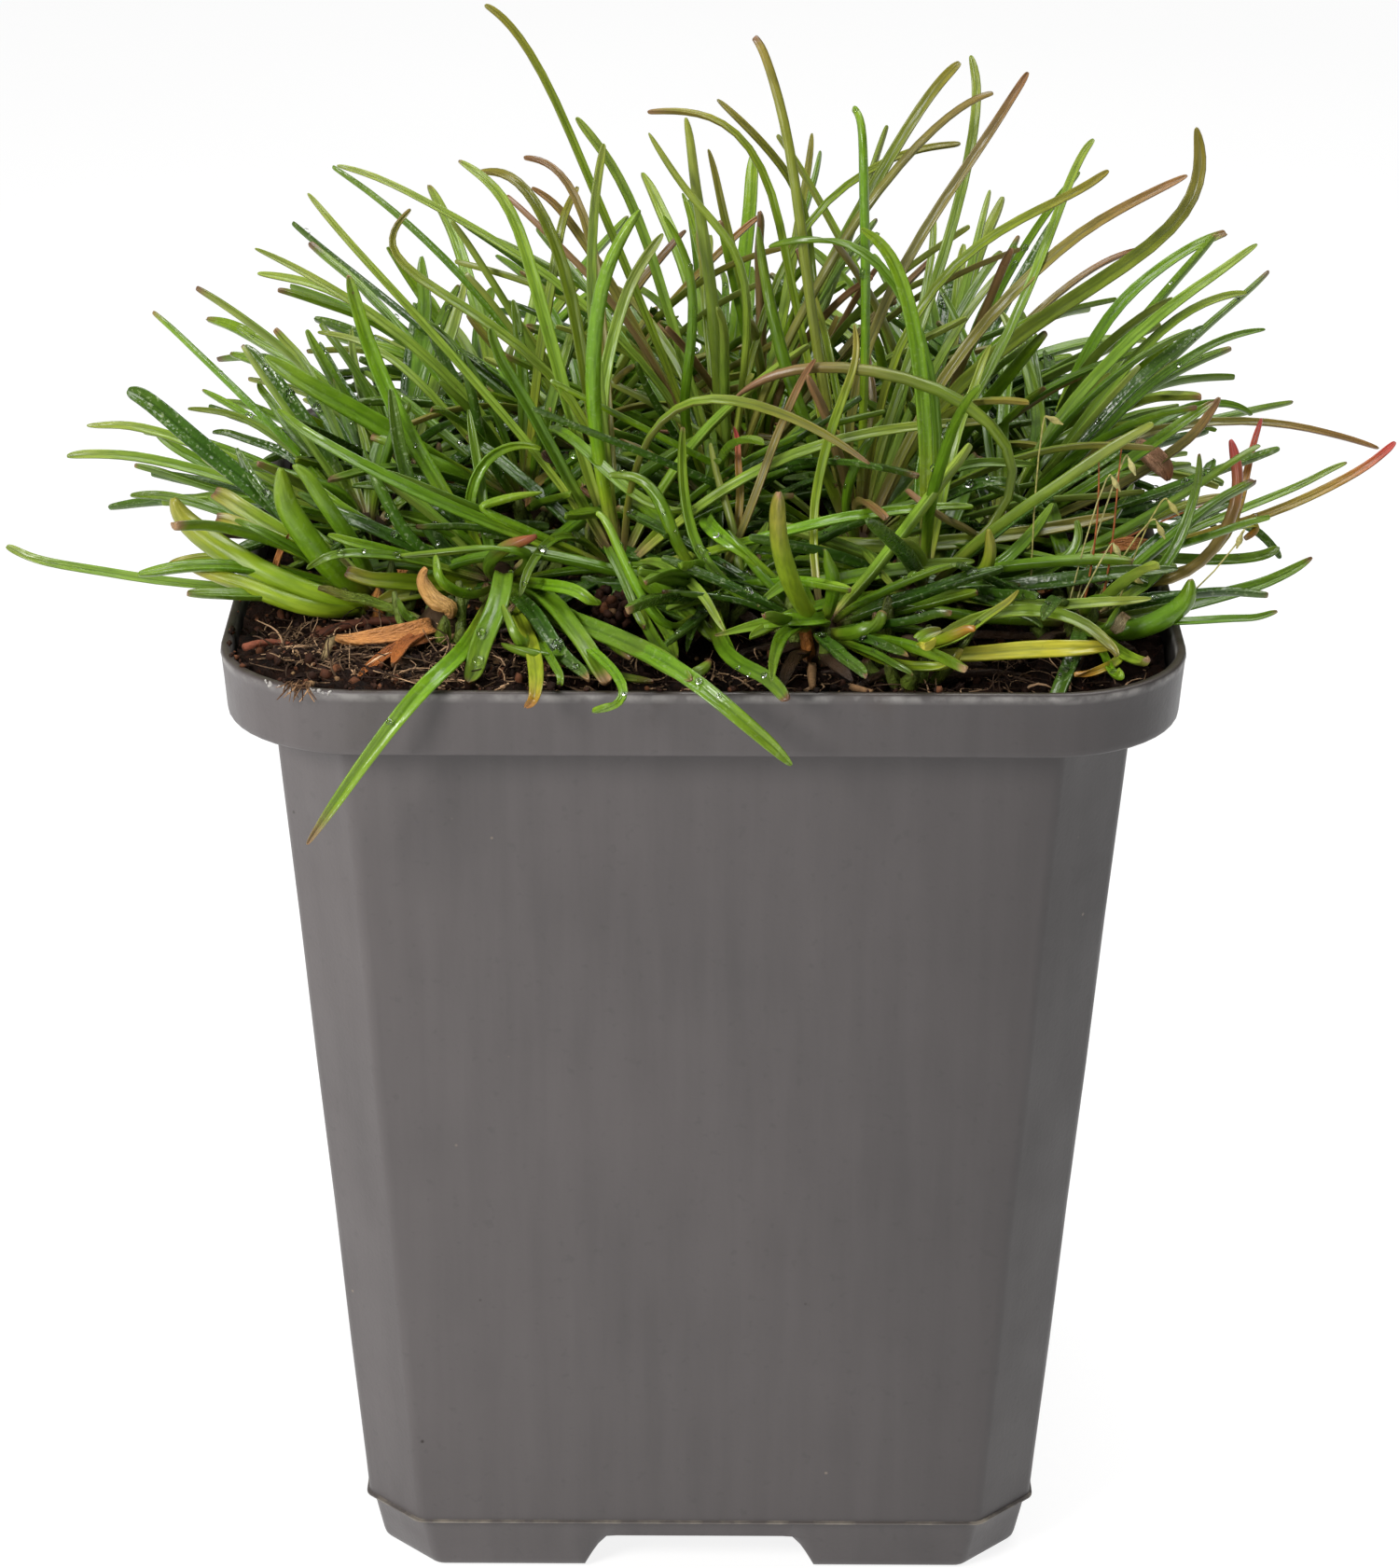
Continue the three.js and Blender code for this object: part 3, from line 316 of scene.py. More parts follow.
# Leaf colours as seen, in sRGB from 0 to 255: at the root, along the blade and at the tip.
LEAF_TONES = {
    "pale": ((132, 162, 34), (116, 142, 34), (126, 124, 52)),
    "light": ((148, 166, 70), (112, 142, 50), (124, 140, 62)),
    "bright": ((138, 158, 44), (92, 130, 22), (106, 134, 32)),
    "green": ((130, 152, 50), (80, 114, 22), (92, 118, 32)),
    "wet": ((98, 122, 36), (52, 84, 24), (68, 94, 32)),
    "olive": ((142, 152, 54), (102, 124, 32), (118, 112, 50)),
    "plum": ((138, 144, 70), (114, 110, 56), (126, 94, 68)),
    "tipped": ((130, 152, 50), (88, 120, 36), (136, 72, 60)),
    "dusky": ((130, 152, 50), (98, 122, 42), (128, 98, 82)),
    "red": ((126, 146, 50), (138, 120, 58), (160, 62, 66)),
    "papery": ((176, 128, 112), (190, 144, 124), (176, 112, 84)),
    "yellow": ((150, 164, 46), (182, 180, 58), (164, 156, 60)),
    "yellowed": ((106, 136, 32), (130, 146, 38), (152, 104, 42)),
    "tan": ((150, 98, 58), (216, 170, 112), (208, 154, 98)),
    "rust": ((118, 74, 44), (192, 126, 74), (204, 140, 86)),
    "russet": ((96, 60, 36), (158, 92, 50), (184, 110, 58)),
    "straw": ((176, 158, 124), (196, 178, 146), (168, 140, 104)),
    "husk": ((92, 68, 48), (66, 46, 32), (52, 36, 26)),
    "sheath": ((150, 164, 92), (112, 136, 56), (92, 108, 44)),
}
# How reddish and how wet the kinds of leaves are, and how often they carry drops. Dry ones have a broad foot.
BLUSHING = {"plum": 1.0, "olive": 0.5, "light": 0.25, "red": 0.15}
WETNESS = {"wet": 1.0, "bright": 0.6, "green": 0.45}
LEAST_WET = 0.2
DROPS = {"wet": 0.75, "green": 0.28, "bright": 0.28, "red": 0.28}
DRY_KINDS = ("tan", "rust", "russet")
# Shares of the leaves that have a brown tip and a cut tip, and how much of its width a cut tip keeps.
BURNT_SHARE = 0.25
CUT_SHARE = 0.02
CUT_WIDTH = 0.86

# What the drawn leaves of a tuft are coloured, from its low outer leaves to its upright inner ones.
TUFT_TONES = {
    "green": ("wet", "green", "wet", "green", "green", "bright", "light", "bright", "green", "light"),
    "olive": ("wet", "green", "olive", "bright", "olive", "light", "plum", "olive", "light", "plum"),
    "red": ("green", "red", "olive", "red"),
    "yellow": ("yellow", "yellowed"),
    "brown": ("pale", "russet"),
}

# Tufts. `at` is the crown's place in the soil. The drawn leaves head the way that the tuft faces, spread by
# `fan` to each side, rise between two slopes and droop by up to `droop` degrees. The order gives the seeds.
TUFT_FIELDS = ("name", "at", "colour", "count", "faces", "fan", "rise", "length", "droop", "width")
TUFT_ROWS = (
    ("tuft_left_front", (-31, -21), "green", 3, 175, 60, (10, 50), (16, 28), 50, (1.5, 2.5)),
    ("tuft_left", (-33, -4), "green", 10, 178, 85, (8, 60), (18, 32), 50, (1.3, 2.2)),
    ("tuft_front_left", (-19.5, -19), "green", 3, -150, 110, (10, 60), (16, 28), 55, (1.5, 2.4)),
    ("tuft_middle_front", (-8, -16.5), "green", 5, -90, 170, (15, 75), (18, 34), 55, (1.1, 2)),
    ("tuft_centre", (2, -3), "olive", 9, 80, 180, (35, 82), (28, 46), 65, (0.9, 1.4)),
    ("tuft_centre_left", (-18, 1), "green", 8, 150, 170, (20, 76), (20, 36), 50, (1.1, 1.9)),
    ("tuft_centre_right", (15, -10), "olive", 8, 20, 180, (24, 80), (26, 42), 55, (0.9, 1.4)),
    ("tuft_front_right", (11, -31), "green", 5, -76, 115, (10, 60), (13, 22), 55, (1.5, 2.4)),
    ("tuft_front_middle", (1, -24), "green", 4, -90, 150, (10, 60), (14, 24), 55, (1.5, 2.3)),
    ("tuft_right_front", (21, -22), "green", 6, -30, 160, (15, 70), (18, 32), 55, (1.4, 2.2)),
    ("tuft_yellowing", (19, -35.5), "yellow", 1, -20, 60, (12, 40), (12, 18), 30, (1.6, 2.2)),
    ("tuft_corner_right", (35.5, -26), "green", 3, -40, 80, (10, 55), (13, 24), 55, (1.4, 2.2)),
    ("tuft_reddening", (35.8, -14), "red", 2, 10, 60, (20, 50), (16, 24), 40, (1.2, 1.7)),
    ("tuft_right", (29, -6), "green", 8, 10, 100, (12, 68), (20, 34), 50, (1.2, 2)),
    ("tuft_withered", (-25, -29), "brown", 2, -130, 70, (8, 20), (8, 13), 30, (1.2, 1.8)),
    ("tuft_back_left", (-31, 14), "green", 13, 160, 95, (8, 62), (18, 32), 60, (1.3, 2.2)),
    ("tuft_middle_left", (-12, 17), "olive", 11, 110, 180, (25, 80), (22, 40), 65, (0.9, 1.5)),
    ("tuft_middle_back", (6, 13), "olive", 12, 80, 180, (30, 82), (26, 46), 65, (0.9, 1.4)),
    ("tuft_middle_right", (22, 8), "olive", 11, 20, 180, (24, 80), (24, 44), 65, (0.9, 1.5)),
    ("tuft_back_right", (35, 17), "green", 12, 35, 95, (10, 66), (20, 36), 60, (1.2, 2.1)),
    ("tuft_corner_left", (-22, 33), "green", 13, 120, 95, (8, 62), (18, 33), 60, (1.3, 2.1)),
    ("tuft_back", (2, 32), "green", 13, 90, 110, (10, 70), (20, 38), 60, (1.2, 2.1)),
    ("tuft_corner_back", (25, 32), "green", 13, 60, 95, (8, 66), (18, 36), 60, (1.2, 2.1)),
)
TUFTS = [dict(zip(TUFT_FIELDS, row)) for row in TUFT_ROWS]

# The leaves measured in the photograph: colour, width, one or two places that the leaf passes, and its tip.
MEASURED = {
    "tuft_left_front": (
        ("pale", 3, (-36.5, -27, 102.5), (-45, -25, 106), (-50, -23, 111)),
        ("pale", 2.1, (-36.5, -29, 102), (-43, -28, 104), (-49, -27, 106)),
        ("wet", 2.3, (-47, -19, 114.5), (-54.5, -18, 120)),
        ("bright", 3, (-35, -25, 104.5), (-38.5, -26, 110), (-39.5, -26, 115)),
        ("light", 1.2, (-55.5, -22, 103), (-66.5, -20, 105)),
        ("green", 1.4, (-45, -14, 106), (-55.5, -12, 107.5)),
        ("green", 1.9, (-33.5, -27, 109), (-38, -28, 116)),
        ("wet", 1.4, (-39.5, -21, 108), (-44.5, -17, 114)),
        ("cut_pale", 2.3, (-40.5, -22, 107.5), (-46.5, -20, 110.5)),
        ("cut_pale", 1.8, (-39.5, -24, 107), (-46, -23, 109)),
        ("green", 1.2, (-39.5, -26, 107.5), (-44, -25, 109.5)),
        ("pale", 1.1, (-44, -22, 104.5), (-51, -21, 103.5)),
    ),
    "tuft_left": (
        ("light", 1.4, (-49, -5, 110), (-60.5, -4, 112)),
        ("light", 1.4, (-50.5, -8, 109), (-62, -8, 110)),
        ("light", 1.1, (-42, 0, 109.5), (-51, 0, 112.5)),
        ("green", 1.5, (-46.5, -3, 106.5), (-54, -2, 110.5)),
        ("wet", 1.9, (-40, 0, 112.5), (-45.5, 3, 118)),
        ("light", 1.2, (-38, 6, 111.5), (-43, 9, 118)),
        ("green", 1.2, (-42, 8, 108.5), (-45, 10, 112)),
        ("green", 1.3, (-30.5, -10, 112), (-28.5, -8, 115.5)),
        ("wet", 1.3, (-41.5, 2, 107), (-49, 3, 109)),
        ("green", 1.3, (-37, -10, 108), (-45.5, -10, 110)),
    ),
    "tuft_front_left": (
        ("bright", 2.1, (-22, -39.5, 102), (-25.5, -47, 101), (-36, -50, 87)),
        ("green", 2.4, (-18.5, -33, 106.5), (-20, -39.5, 103.5), (-21.5, -42.5, 100)),
        ("bright", 2, (-30, -12, 117.5), (-34, -10, 129)),
        ("green", 2.4, (-13, -33, 103), (-7, -40, 103), (-1, -47, 102)),
        ("wet", 1.9, (-16.5, -32, 103.5), (-13.5, -38, 102), (-10.5, -43, 100.5)),
        ("bright", 1.2, (-18.5, -30, 99), (-4.5, -42, 100)),
        ("wet", 1.6, (-27.5, -24, 107), (-32, -22, 115.5)),
        ("wet", 1.8, (-26.5, -18, 107), (-30, -14, 119)),
        ("bright", 1.4, (-28.5, -26.5, 106.5), (-35, -29, 109.5)),
        ("yellowed", 1.8, (-15, -44, 102), (-16, -48.5, 100)),
        ("bright", 2, (-8.5, -37.5, 102.5), (-0.5, -47.5, 102), (8, -50, 95)),
        ("cut_pale", 2.1, (-28.5, -26.5, 104), (-33.5, -28, 105.5)),
        ("pale", 2.5, (-25.5, -22.5, 102), (-31, -25.5, 101.5)),
        ("bright", 1.4, (-31.5, -22, 108), (-39, -19, 113)),
        ("wet", 1.7, (-29.5, -24, 107.5), (-38.5, -20, 110.5)),
        ("green", 1.2, (-31, -30, 108), (-37, -30, 106.5)),
        ("bright", 1.3, (-23, -33, 105.5), (-25, -32, 108.5)),
        ("bright", 1.4, (-22.5, -18, 108.5), (-20, -17, 113.5), (-15.5, -17, 114)),
        ("bright", 1.6, (-13.5, -32, 105.5), (-9.5, -34, 104.5)),
        ("green", 1.1, (-14, -41, 102), (-13, -44, 100.5)),
        ("green", 1.4, (-21, -18, 107), (-22.5, -14, 117)),
        ("wet", 1.8, (-25.5, -17, 108.5), (-33.5, -18, 110.5)),
        ("green", 1.4, (-13, -38, 101.5), (-18.5, -39, 102.5)),
        ("green", 1.5, (-16.5, -38, 102), (-18.5, -37, 105.5)),
        ("bright", 1.2, (-8, -45, 102), (-10, -49.5, 100)),
        ("green", 1.4, (-17, -29, 108), (-28.5, -28, 107)),
        ("tipped", 1.6, (-20, -27, 106.5), (-15.5, -29, 109.5)),
    ),
    "tuft_middle_front": (
        ("light", 1.1, (-17.5, -13, 114), (-28, -10, 125.5), (-38, -6, 136)),
        ("olive", 1.3, (-14.5, -13, 120.5), (-27, -10, 128.5), (-28, -8, 135)),
        ("light", 1.3, (-10.5, -16, 127.5), (-9.5, -14, 143)),
        ("bright", 1.8, (-10.5, -20, 125), (-6, -19, 138)),
        ("light", 1.5, (-9.5, -12, 120), (-4, -9, 133)),
        ("light", 1.6, (-14, -13, 120.5), (-17.5, -10, 133), (-23.5, -7, 139.5)),
        ("olive", 1.5, (-11.5, -8, 119), (-15, -4, 132.5), (-22, 0, 136.5)),
        ("plum", 1.2, (-9.5, -9, 119), (-11.5, -5, 133), (-17.5, -2, 138.5)),
        ("green", 1.1, (-9, -26, 107), (-7, -30, 104), (-5.5, -33, 102)),
        ("light", 1.4, (-3, -27, 105.5), (2, -37, 103)),
        ("green", 1.4, (-4.5, -30, 102), (-2.5, -40, 101.5)),
        ("olive", 1.4, (-5.5, -22, 117), (2, -22, 121), (15.5, -26, 115.5)),
        ("light", 1.4, (1.5, -22, 111.5), (12.5, -20, 116), (27.5, -14, 116)),
        ("green", 1.6, (-17.5, -17, 119), (-19.5, -16, 126.5)),
        ("green", 1.2, (-14.5, -22, 108.5), (-18, -34, 105)),
        ("green", 1.6, (-28.5, -26, 113.5), (-40, -22, 119.5)),
        ("bright", 1.2, (-17, -26, 109), (-21, -27, 111.5), (-15, -27, 113)),
        ("bright", 1.4, (8.5, -30, 109.5), (17, -27, 110.5), (26, -24, 111)),
        ("cut_green", 1.5, (-3, -41, 101.5), (0.5, -41, 101.5)),
    ),
    "tuft_centre": (
        ("olive", 1.1, (-6, -3, 124), (-14, -3, 143.5), (-21, -3, 153.5)),
        ("light", 1.1, (-6, -2, 118), (-20.5, 0, 130), (-36, 4, 136)),
        ("light", 1.3, (-5, 0, 127.5), (-12.5, 2, 141.5)),
        ("light", 1.5, (1.5, -5, 116), (0, -5, 131), (-2, -4, 143)),
        ("olive", 1.5, (8.5, 0, 119.5), (17.5, 0, 137.5), (24.5, 2, 147)),
        ("olive", 1.2, (8.5, -5, 122.5), (18, -4, 138), (27.5, -2, 145)),
        ("olive", 1, (7, 2, 125.5), (15, 4, 135.5), (25, 6, 138)),
        ("olive", 2, (15.5, -18, 104.5), (27, -19, 105.5), (39.5, -16, 107.5)),
        ("plum", 1.3, (-9.5, 4, 124.5), (-17, 6, 133.5)),
        ("light", 1.1, (4, -8, 125.5), (1, -8, 133.5), (-5.5, -6, 142)),
        ("bright", 1.3, (-2, -9, 116.5), (-1, -9, 125.5), (-4, -8, 134.5)),
        ("plum", 1.4, (-5, -11, 104.5), (-12, -12, 108.5)),
        ("bright", 1.9, (2.5, -25, 108), (5.5, -29, 105.5)),
        ("wet", 1.5, (-3, -10, 108), (-10.5, -8, 111)),
        ("green", 1.3, (8.5, -10, 110), (16, -6, 110.5)),
    ),
    "tuft_centre_left": (
        ("light", 1.4, (-26, 0, 117), (-44, 1, 128.5)),
        ("bright", 2.5, (-32.5, -6, 113), (-42.5, -7, 120)),
        ("light", 1.1, (-29, 3, 115), (-38.5, 6, 118.5)),
        ("light", 1.3, (-29, 6, 117.5), (-44.5, 8, 124)),
        ("olive", 1.3, (-15, 2, 125), (-12.5, 6, 133.5)),
        ("wet", 1.5, (-23.5, 2, 112), (-27.5, 5, 120)),
        ("green", 1.5, (-18, 4, 115), (-19, 6, 122)),
        ("wet", 1.3, (-21.5, -4, 110), (-23.5, -4, 119.5)),
        ("bright", 1.4, (-14.5, -14, 115.5), (-8.5, -20, 112), (-1, -22, 110)),
        ("green", 1.5, (-25, -6, 108.5), (-32.5, -6, 111.5)),
        ("wet", 1.5, (-14, -12, 108.5), (-8.5, -10, 112)),
    ),
    "tuft_centre_right": (
        ("olive", 1.1, (8.5, -3, 126.5), (3, 0, 136), (-6.5, 4, 143)),
        ("olive", 1.3, (10, -11, 126.5), (7.5, -8, 143), (4.5, -5, 151)),
        ("bright", 1.2, (15, -11, 135.5), (14, -7, 144.5)),
        ("light", 1.3, (19.5, -3, 117.5), (25, 0, 134.5), (25.5, 3, 147.5)),
        ("plum", 1.3, (15.5, -9, 122), (24, -8, 138.5), (30.5, -6, 148)),
        ("olive", 1.9, (28, -2, 119), (43, 1, 128.5), (47.5, 3, 140.5)),
        ("plum", 1.5, (25, -6, 121), (35.5, -5, 131.5), (46.5, -2, 137)),
        ("olive", 1.2, (20, -9, 125), (29.5, -8, 134), (38.5, -6, 138.5)),
        ("light", 1.3, (27.5, -8, 119), (33.5, -4, 133), (37.5, 0, 140)),
        ("green", 1.2, (29, -18, 104.5), (43, -21, 109.5), (55, -19, 114)),
        ("olive", 1.3, (11.5, 1, 123), (7.5, 4, 134), (3, 7, 141)),
        ("green", 1.6, (9.5, -14, 116), (6.5, -12, 125.5), (5, -10, 134)),
        ("green", 1.2, (16, -20, 109.5), (15.5, -16, 118.5)),
        ("wet", 1.4, (25.5, -18, 111), (30, -18, 110)),
        ("green", 1.3, (22, -14, 110.5), (32, -12, 111)),
    ),
    "tuft_front_right": (
        ("pale", 2.2, (7.5, -44, 111.5), (6.5, -57.5, 123.5)),
        ("green", 1.7, (12, -34, 106.5), (11, -34, 110)),
        ("wet", 1.2, (15, -38, 102.5), (18.5, -43, 103)),
        ("bright", 1.7, (10, -36, 104), (1, -38, 103)),
        ("green", 1.4, (2, -28, 107), (-0.5, -24, 119.5)),
        ("green", 1.6, (8.5, -32, 106), (5, -33, 104)),
        ("cut_green", 1.8, (14.5, -37, 103), (16.5, -36, 104.5)),
        ("green", 1, (16, -40, 102), (19, -43, 101)),
        ("pale", 1.2, (19.5, -41, 101), (23.5, -40, 102.5)),
        ("olive", 1.2, (10.5, -24, 113.5), (13, -20, 120), (14, -17, 126.5)),
    ),
    "tuft_front_middle": (
        ("bright", 1.6, (3, -28, 104), (-3.5, -30, 102.5)),
        ("green", 1.8, (14.5, -26, 104.5), (25.5, -26, 106)),
        ("green", 1.9, (-1.5, -30, 104), (-4.5, -30, 108.5)),
        ("green", 1.6, (4, -24, 105.5), (6, -22, 108.5)),
        ("cut_green", 1.8, (2, -38.5, 101.5), (5, -45.5, 102), (7.5, -49, 101)),
        ("light", 1.2, (2.5, -23, 107), (3.5, -21, 117.5)),
        ("bright", 1.2, (-4, -36, 103.5), (-7, -34, 108.5), (-10, -31, 112.5)),
        ("green", 1.6, (-3, -26, 109), (-5, -24, 112.5), (-9, -23, 113.5)),
        ("wet", 1.2, (-0.5, -30, 102), (-1.5, -36, 100.5)),
        ("bright", 1.2, (2, -36, 101.5), (4, -41, 100.5)),
        ("red", 1, (2.5, -22, 112), (4.5, -20, 116.5)),
        ("plum", 1.1, (5.5, -22, 112), (7.5, -20, 118), (10, -17, 124.5)),
    ),
    "tuft_right_front": (
        ("bright", 1.8, (20, -18, 125.5), (14.5, -16, 135.5)),
        ("green", 1.3, (22, -16, 118.5), (17, -14, 131), (6, -10, 132)),
        ("dusky", 1.6, (29, -20, 116.5), (18, -20, 121), (2.5, -17, 119)),
        ("pale", 1.8, (26, -27, 105), (26.5, -28, 110)),
        ("light", 1.5, (31, -32, 104), (41.5, -33, 105)),
        ("green", 1.4, (33, -25, 105), (35, -24, 109.5)),
        ("light", 1.3, (23.5, -20, 115.5), (27, -17, 124.5)),
        ("wet", 1.4, (28.5, -22, 108.5), (39.5, -18, 114.5)),
        ("wet", 1.9, (33, -28, 103.5), (43.5, -26, 104.5)),
        ("green", 1.6, (28.5, -24, 105.5), (33, -22, 110.5)),
        ("wet", 1.4, (26.5, -30, 104), (31.5, -33, 102)),
    ),
    "tuft_yellowing": (
        ("yellow", 2.1, (30.5, -37, 101.5), (38, -37, 101.5)),
        ("olive", 1.5, (28, -35, 104.5), (35, -36, 103.5), (38, -39, 101.5)),
        ("pale", 1.2, (24.5, -36, 103), (29, -35, 106.5)),
        ("pale", 1.7, (20, -36, 102), (22, -35, 102.5)),
    ),
    "tuft_corner_right": (
        ("bright", 2.6, (40, -30, 100.5), (44, -30, 102.5), (45.5, -29, 105.5)),
        ("green", 1.7, (49, -23, 101.5), (58, -20, 104.5)),
        ("green", 1, (46.5, -31, 102), (53.5, -31, 103)),
        ("green", 1.4, (44.5, -24, 106.5), (46.5, -22, 115.5)),
        ("yellowed", 1.2, (39.5, -36, 100.5), (34, -40, 101)),
        ("green", 1, (36.5, -34, 102), (38.5, -33, 104)),
        ("cut_pale", 1.4, (37.5, -38, 101.5), (41, -40, 101)),
        ("bright", 1, (37, -40, 101), (38.5, -41, 101)),
        ("wet", 1.8, (42, -24, 100), (48.5, -22, 100)),
    ),
    "tuft_reddening": (
        ("red", 1.6, (46.5, -17, 101.5), (51, -15, 107.5), (50.5, -13, 114)),
        ("red", 1.1, (48.5, -13, 101.5), (52.5, -10, 107.5), (54, -8, 114.5)),
        ("red", 1.2, (57.5, -10, 106.5), (67.5, -6, 111.5)),
        ("light", 1.1, (52.5, -6, 104.5), (63.5, -2, 108)),
        ("yellowed", 1, (52, -8, 103.5), (53, -8, 102)),
    ),
    "tuft_right": (
        ("light", 1.5, (36, -3, 114.5), (46, 2, 123), (54.5, 6, 128)),
        ("light", 1.3, (36, -3, 111), (44.5, 1, 120), (53.5, 4, 123.5)),
        ("green", 1.3, (37, -6, 110.5), (45, -3, 117.5), (55, 0, 121)),
        ("wet", 1.6, (39.5, -7, 115), (48.5, -4, 122.5)),
        ("plum", 1.2, (39, -1, 109), (52.5, 2, 111), (67.5, 4, 107.5)),
        ("wet", 1.3, (49, -5, 103.5), (57, -5, 99)),
        ("green", 1.3, (46, 3, 111), (55, 7, 110)),
        ("plum", 1.3, (44, -6, 109), (50.5, -3, 115)),
        ("plum", 1, (23.5, -24, 109), (19, -23, 112)),
        ("green", 1.4, (48.5, -10, 102.5), (55.5, -10, 100)),
        ("wet", 1.8, (45, -8, 106.5), (50, -4, 109)),
        ("green", 1.5, (40, -10, 110), (49.5, -6, 115.5)),
        ("wet", 1.1, (32.5, -14, 107.5), (33.5, -14, 108)),
        ("green", 1, (40.5, -18, 103.5), (45, -16, 103.5)),
    ),
    "tuft_withered": (
        ("tan", 2.1, (-24, -29.5, 102.5), (-26, -29, 104), (-26, -28, 106)),
        ("rust", 2.1, (-26, -32.5, 101.5), (-29.5, -34.5, 101.5), (-34, -36, 102)),
        ("russet", 1.4, (-26.5, -34.5, 101), (-29, -37.5, 101), (-31.5, -41, 100)),
        ("bright", 1, (-27.5, -31, 102), (-28.5, -31, 104)),
    ),
}


# Small aids


def number_stream(seed):
    """Endless even draws from 0 to 1, the same on every run."""
    modulus = 2147483647
    state = (seed * 48271 + 11) % modulus
    warm_up = 2
    while True:
        state = (state * 16807) % modulus
        if warm_up:
            warm_up -= 1
            continue
        yield state / modulus


def linear(seen):
    """A colour seen as sRGB 0 to 255, as the linear values that a shader takes."""
    parts = [value / 255 for value in seen]
    return [p / 12.92 if p <= 0.04045 else ((p + 0.055) / 1.055) ** 2.4 for p in parts]


def blend(first, second, share):
    """A colour between two linear ones."""
    return [a + (b - a) * share for a, b in zip(first, second)]


def shade_of(kind, share):
    """A linear colour between the darkest and the palest shade of a kind."""
    darkest, palest = SHADES[kind]
    return blend(linear(darkest), linear(palest), share)


def size_of(draw, least, more, power):
    """A size drawn by its rule."""
    return least + more * next(draw) ** power


def ease(low, high, value):
    """A smooth rise from 0 at `low` to 1 at `high`."""
    share = min(1.0, max(0.0, (value - low) / (high - low)))
    return share * share * (3 - 2 * share)


def heading(azimuth, elevation):
    """The direction that two angles in degrees give."""
    turn = math.radians(azimuth)
    lift = math.radians(elevation)
    return Vector((math.cos(lift) * math.cos(turn), math.cos(lift) * math.sin(turn), math.sin(lift)))


def vectors(places):
    return [Vector(place) for place in places]


def mesh_from(bm, name):
    """Turns a bmesh into a mesh of that name."""
    mesh = bpy.data.meshes.new(name)
    bm.to_mesh(mesh)
    bm.free()
    return mesh


def start_mesh(shade, measures=()):
    """An empty bmesh whose corners carry a shade and some measures."""
    bm = bmesh.new()
    for measure in measures:
        bm.verts.layers.float.new(measure)
    bm.verts.layers.float_color.new(shade)
    return bm


def start_leaves():
    """An empty bmesh for leaves."""
    return start_mesh("leaf_shade", LEAF_MEASURES)


def add_copy(bm, template):
    """Adds a copy of the template and returns the copy's corners."""
    first = len(bm.verts)
    bm.from_mesh(template)
    bm.verts.ensure_lookup_table()
    return bm.verts[first:]


def stand(name, data):
    """Puts a new object of that name in the scene."""
    thing = bpy.data.objects.new(name, data)
    bpy.context.scene.collection.objects.link(thing)
    return thing


def make_piece(bm, name, finish, stands_for=()):
    """Turns a bmesh in millimetres into a named piece that stands with the pot."""
    bmesh.ops.scale(bm, vec=(MM, MM, MM), verts=bm.verts)
    mesh = mesh_from(bm, name)
    mesh.shade_smooth()
    mesh.materials.append(finish)
    piece = stand(name, mesh)
    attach(piece, "root")
    if stands_for:
        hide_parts(*stands_for)
    return piece


def round_off(piece):
    """Smooths a piece by one step of subdivision."""
    smooth = piece.modifiers.new("round_off", "SUBSURF")
    smooth.levels = 1
    smooth.render_levels = 1


# Finishes


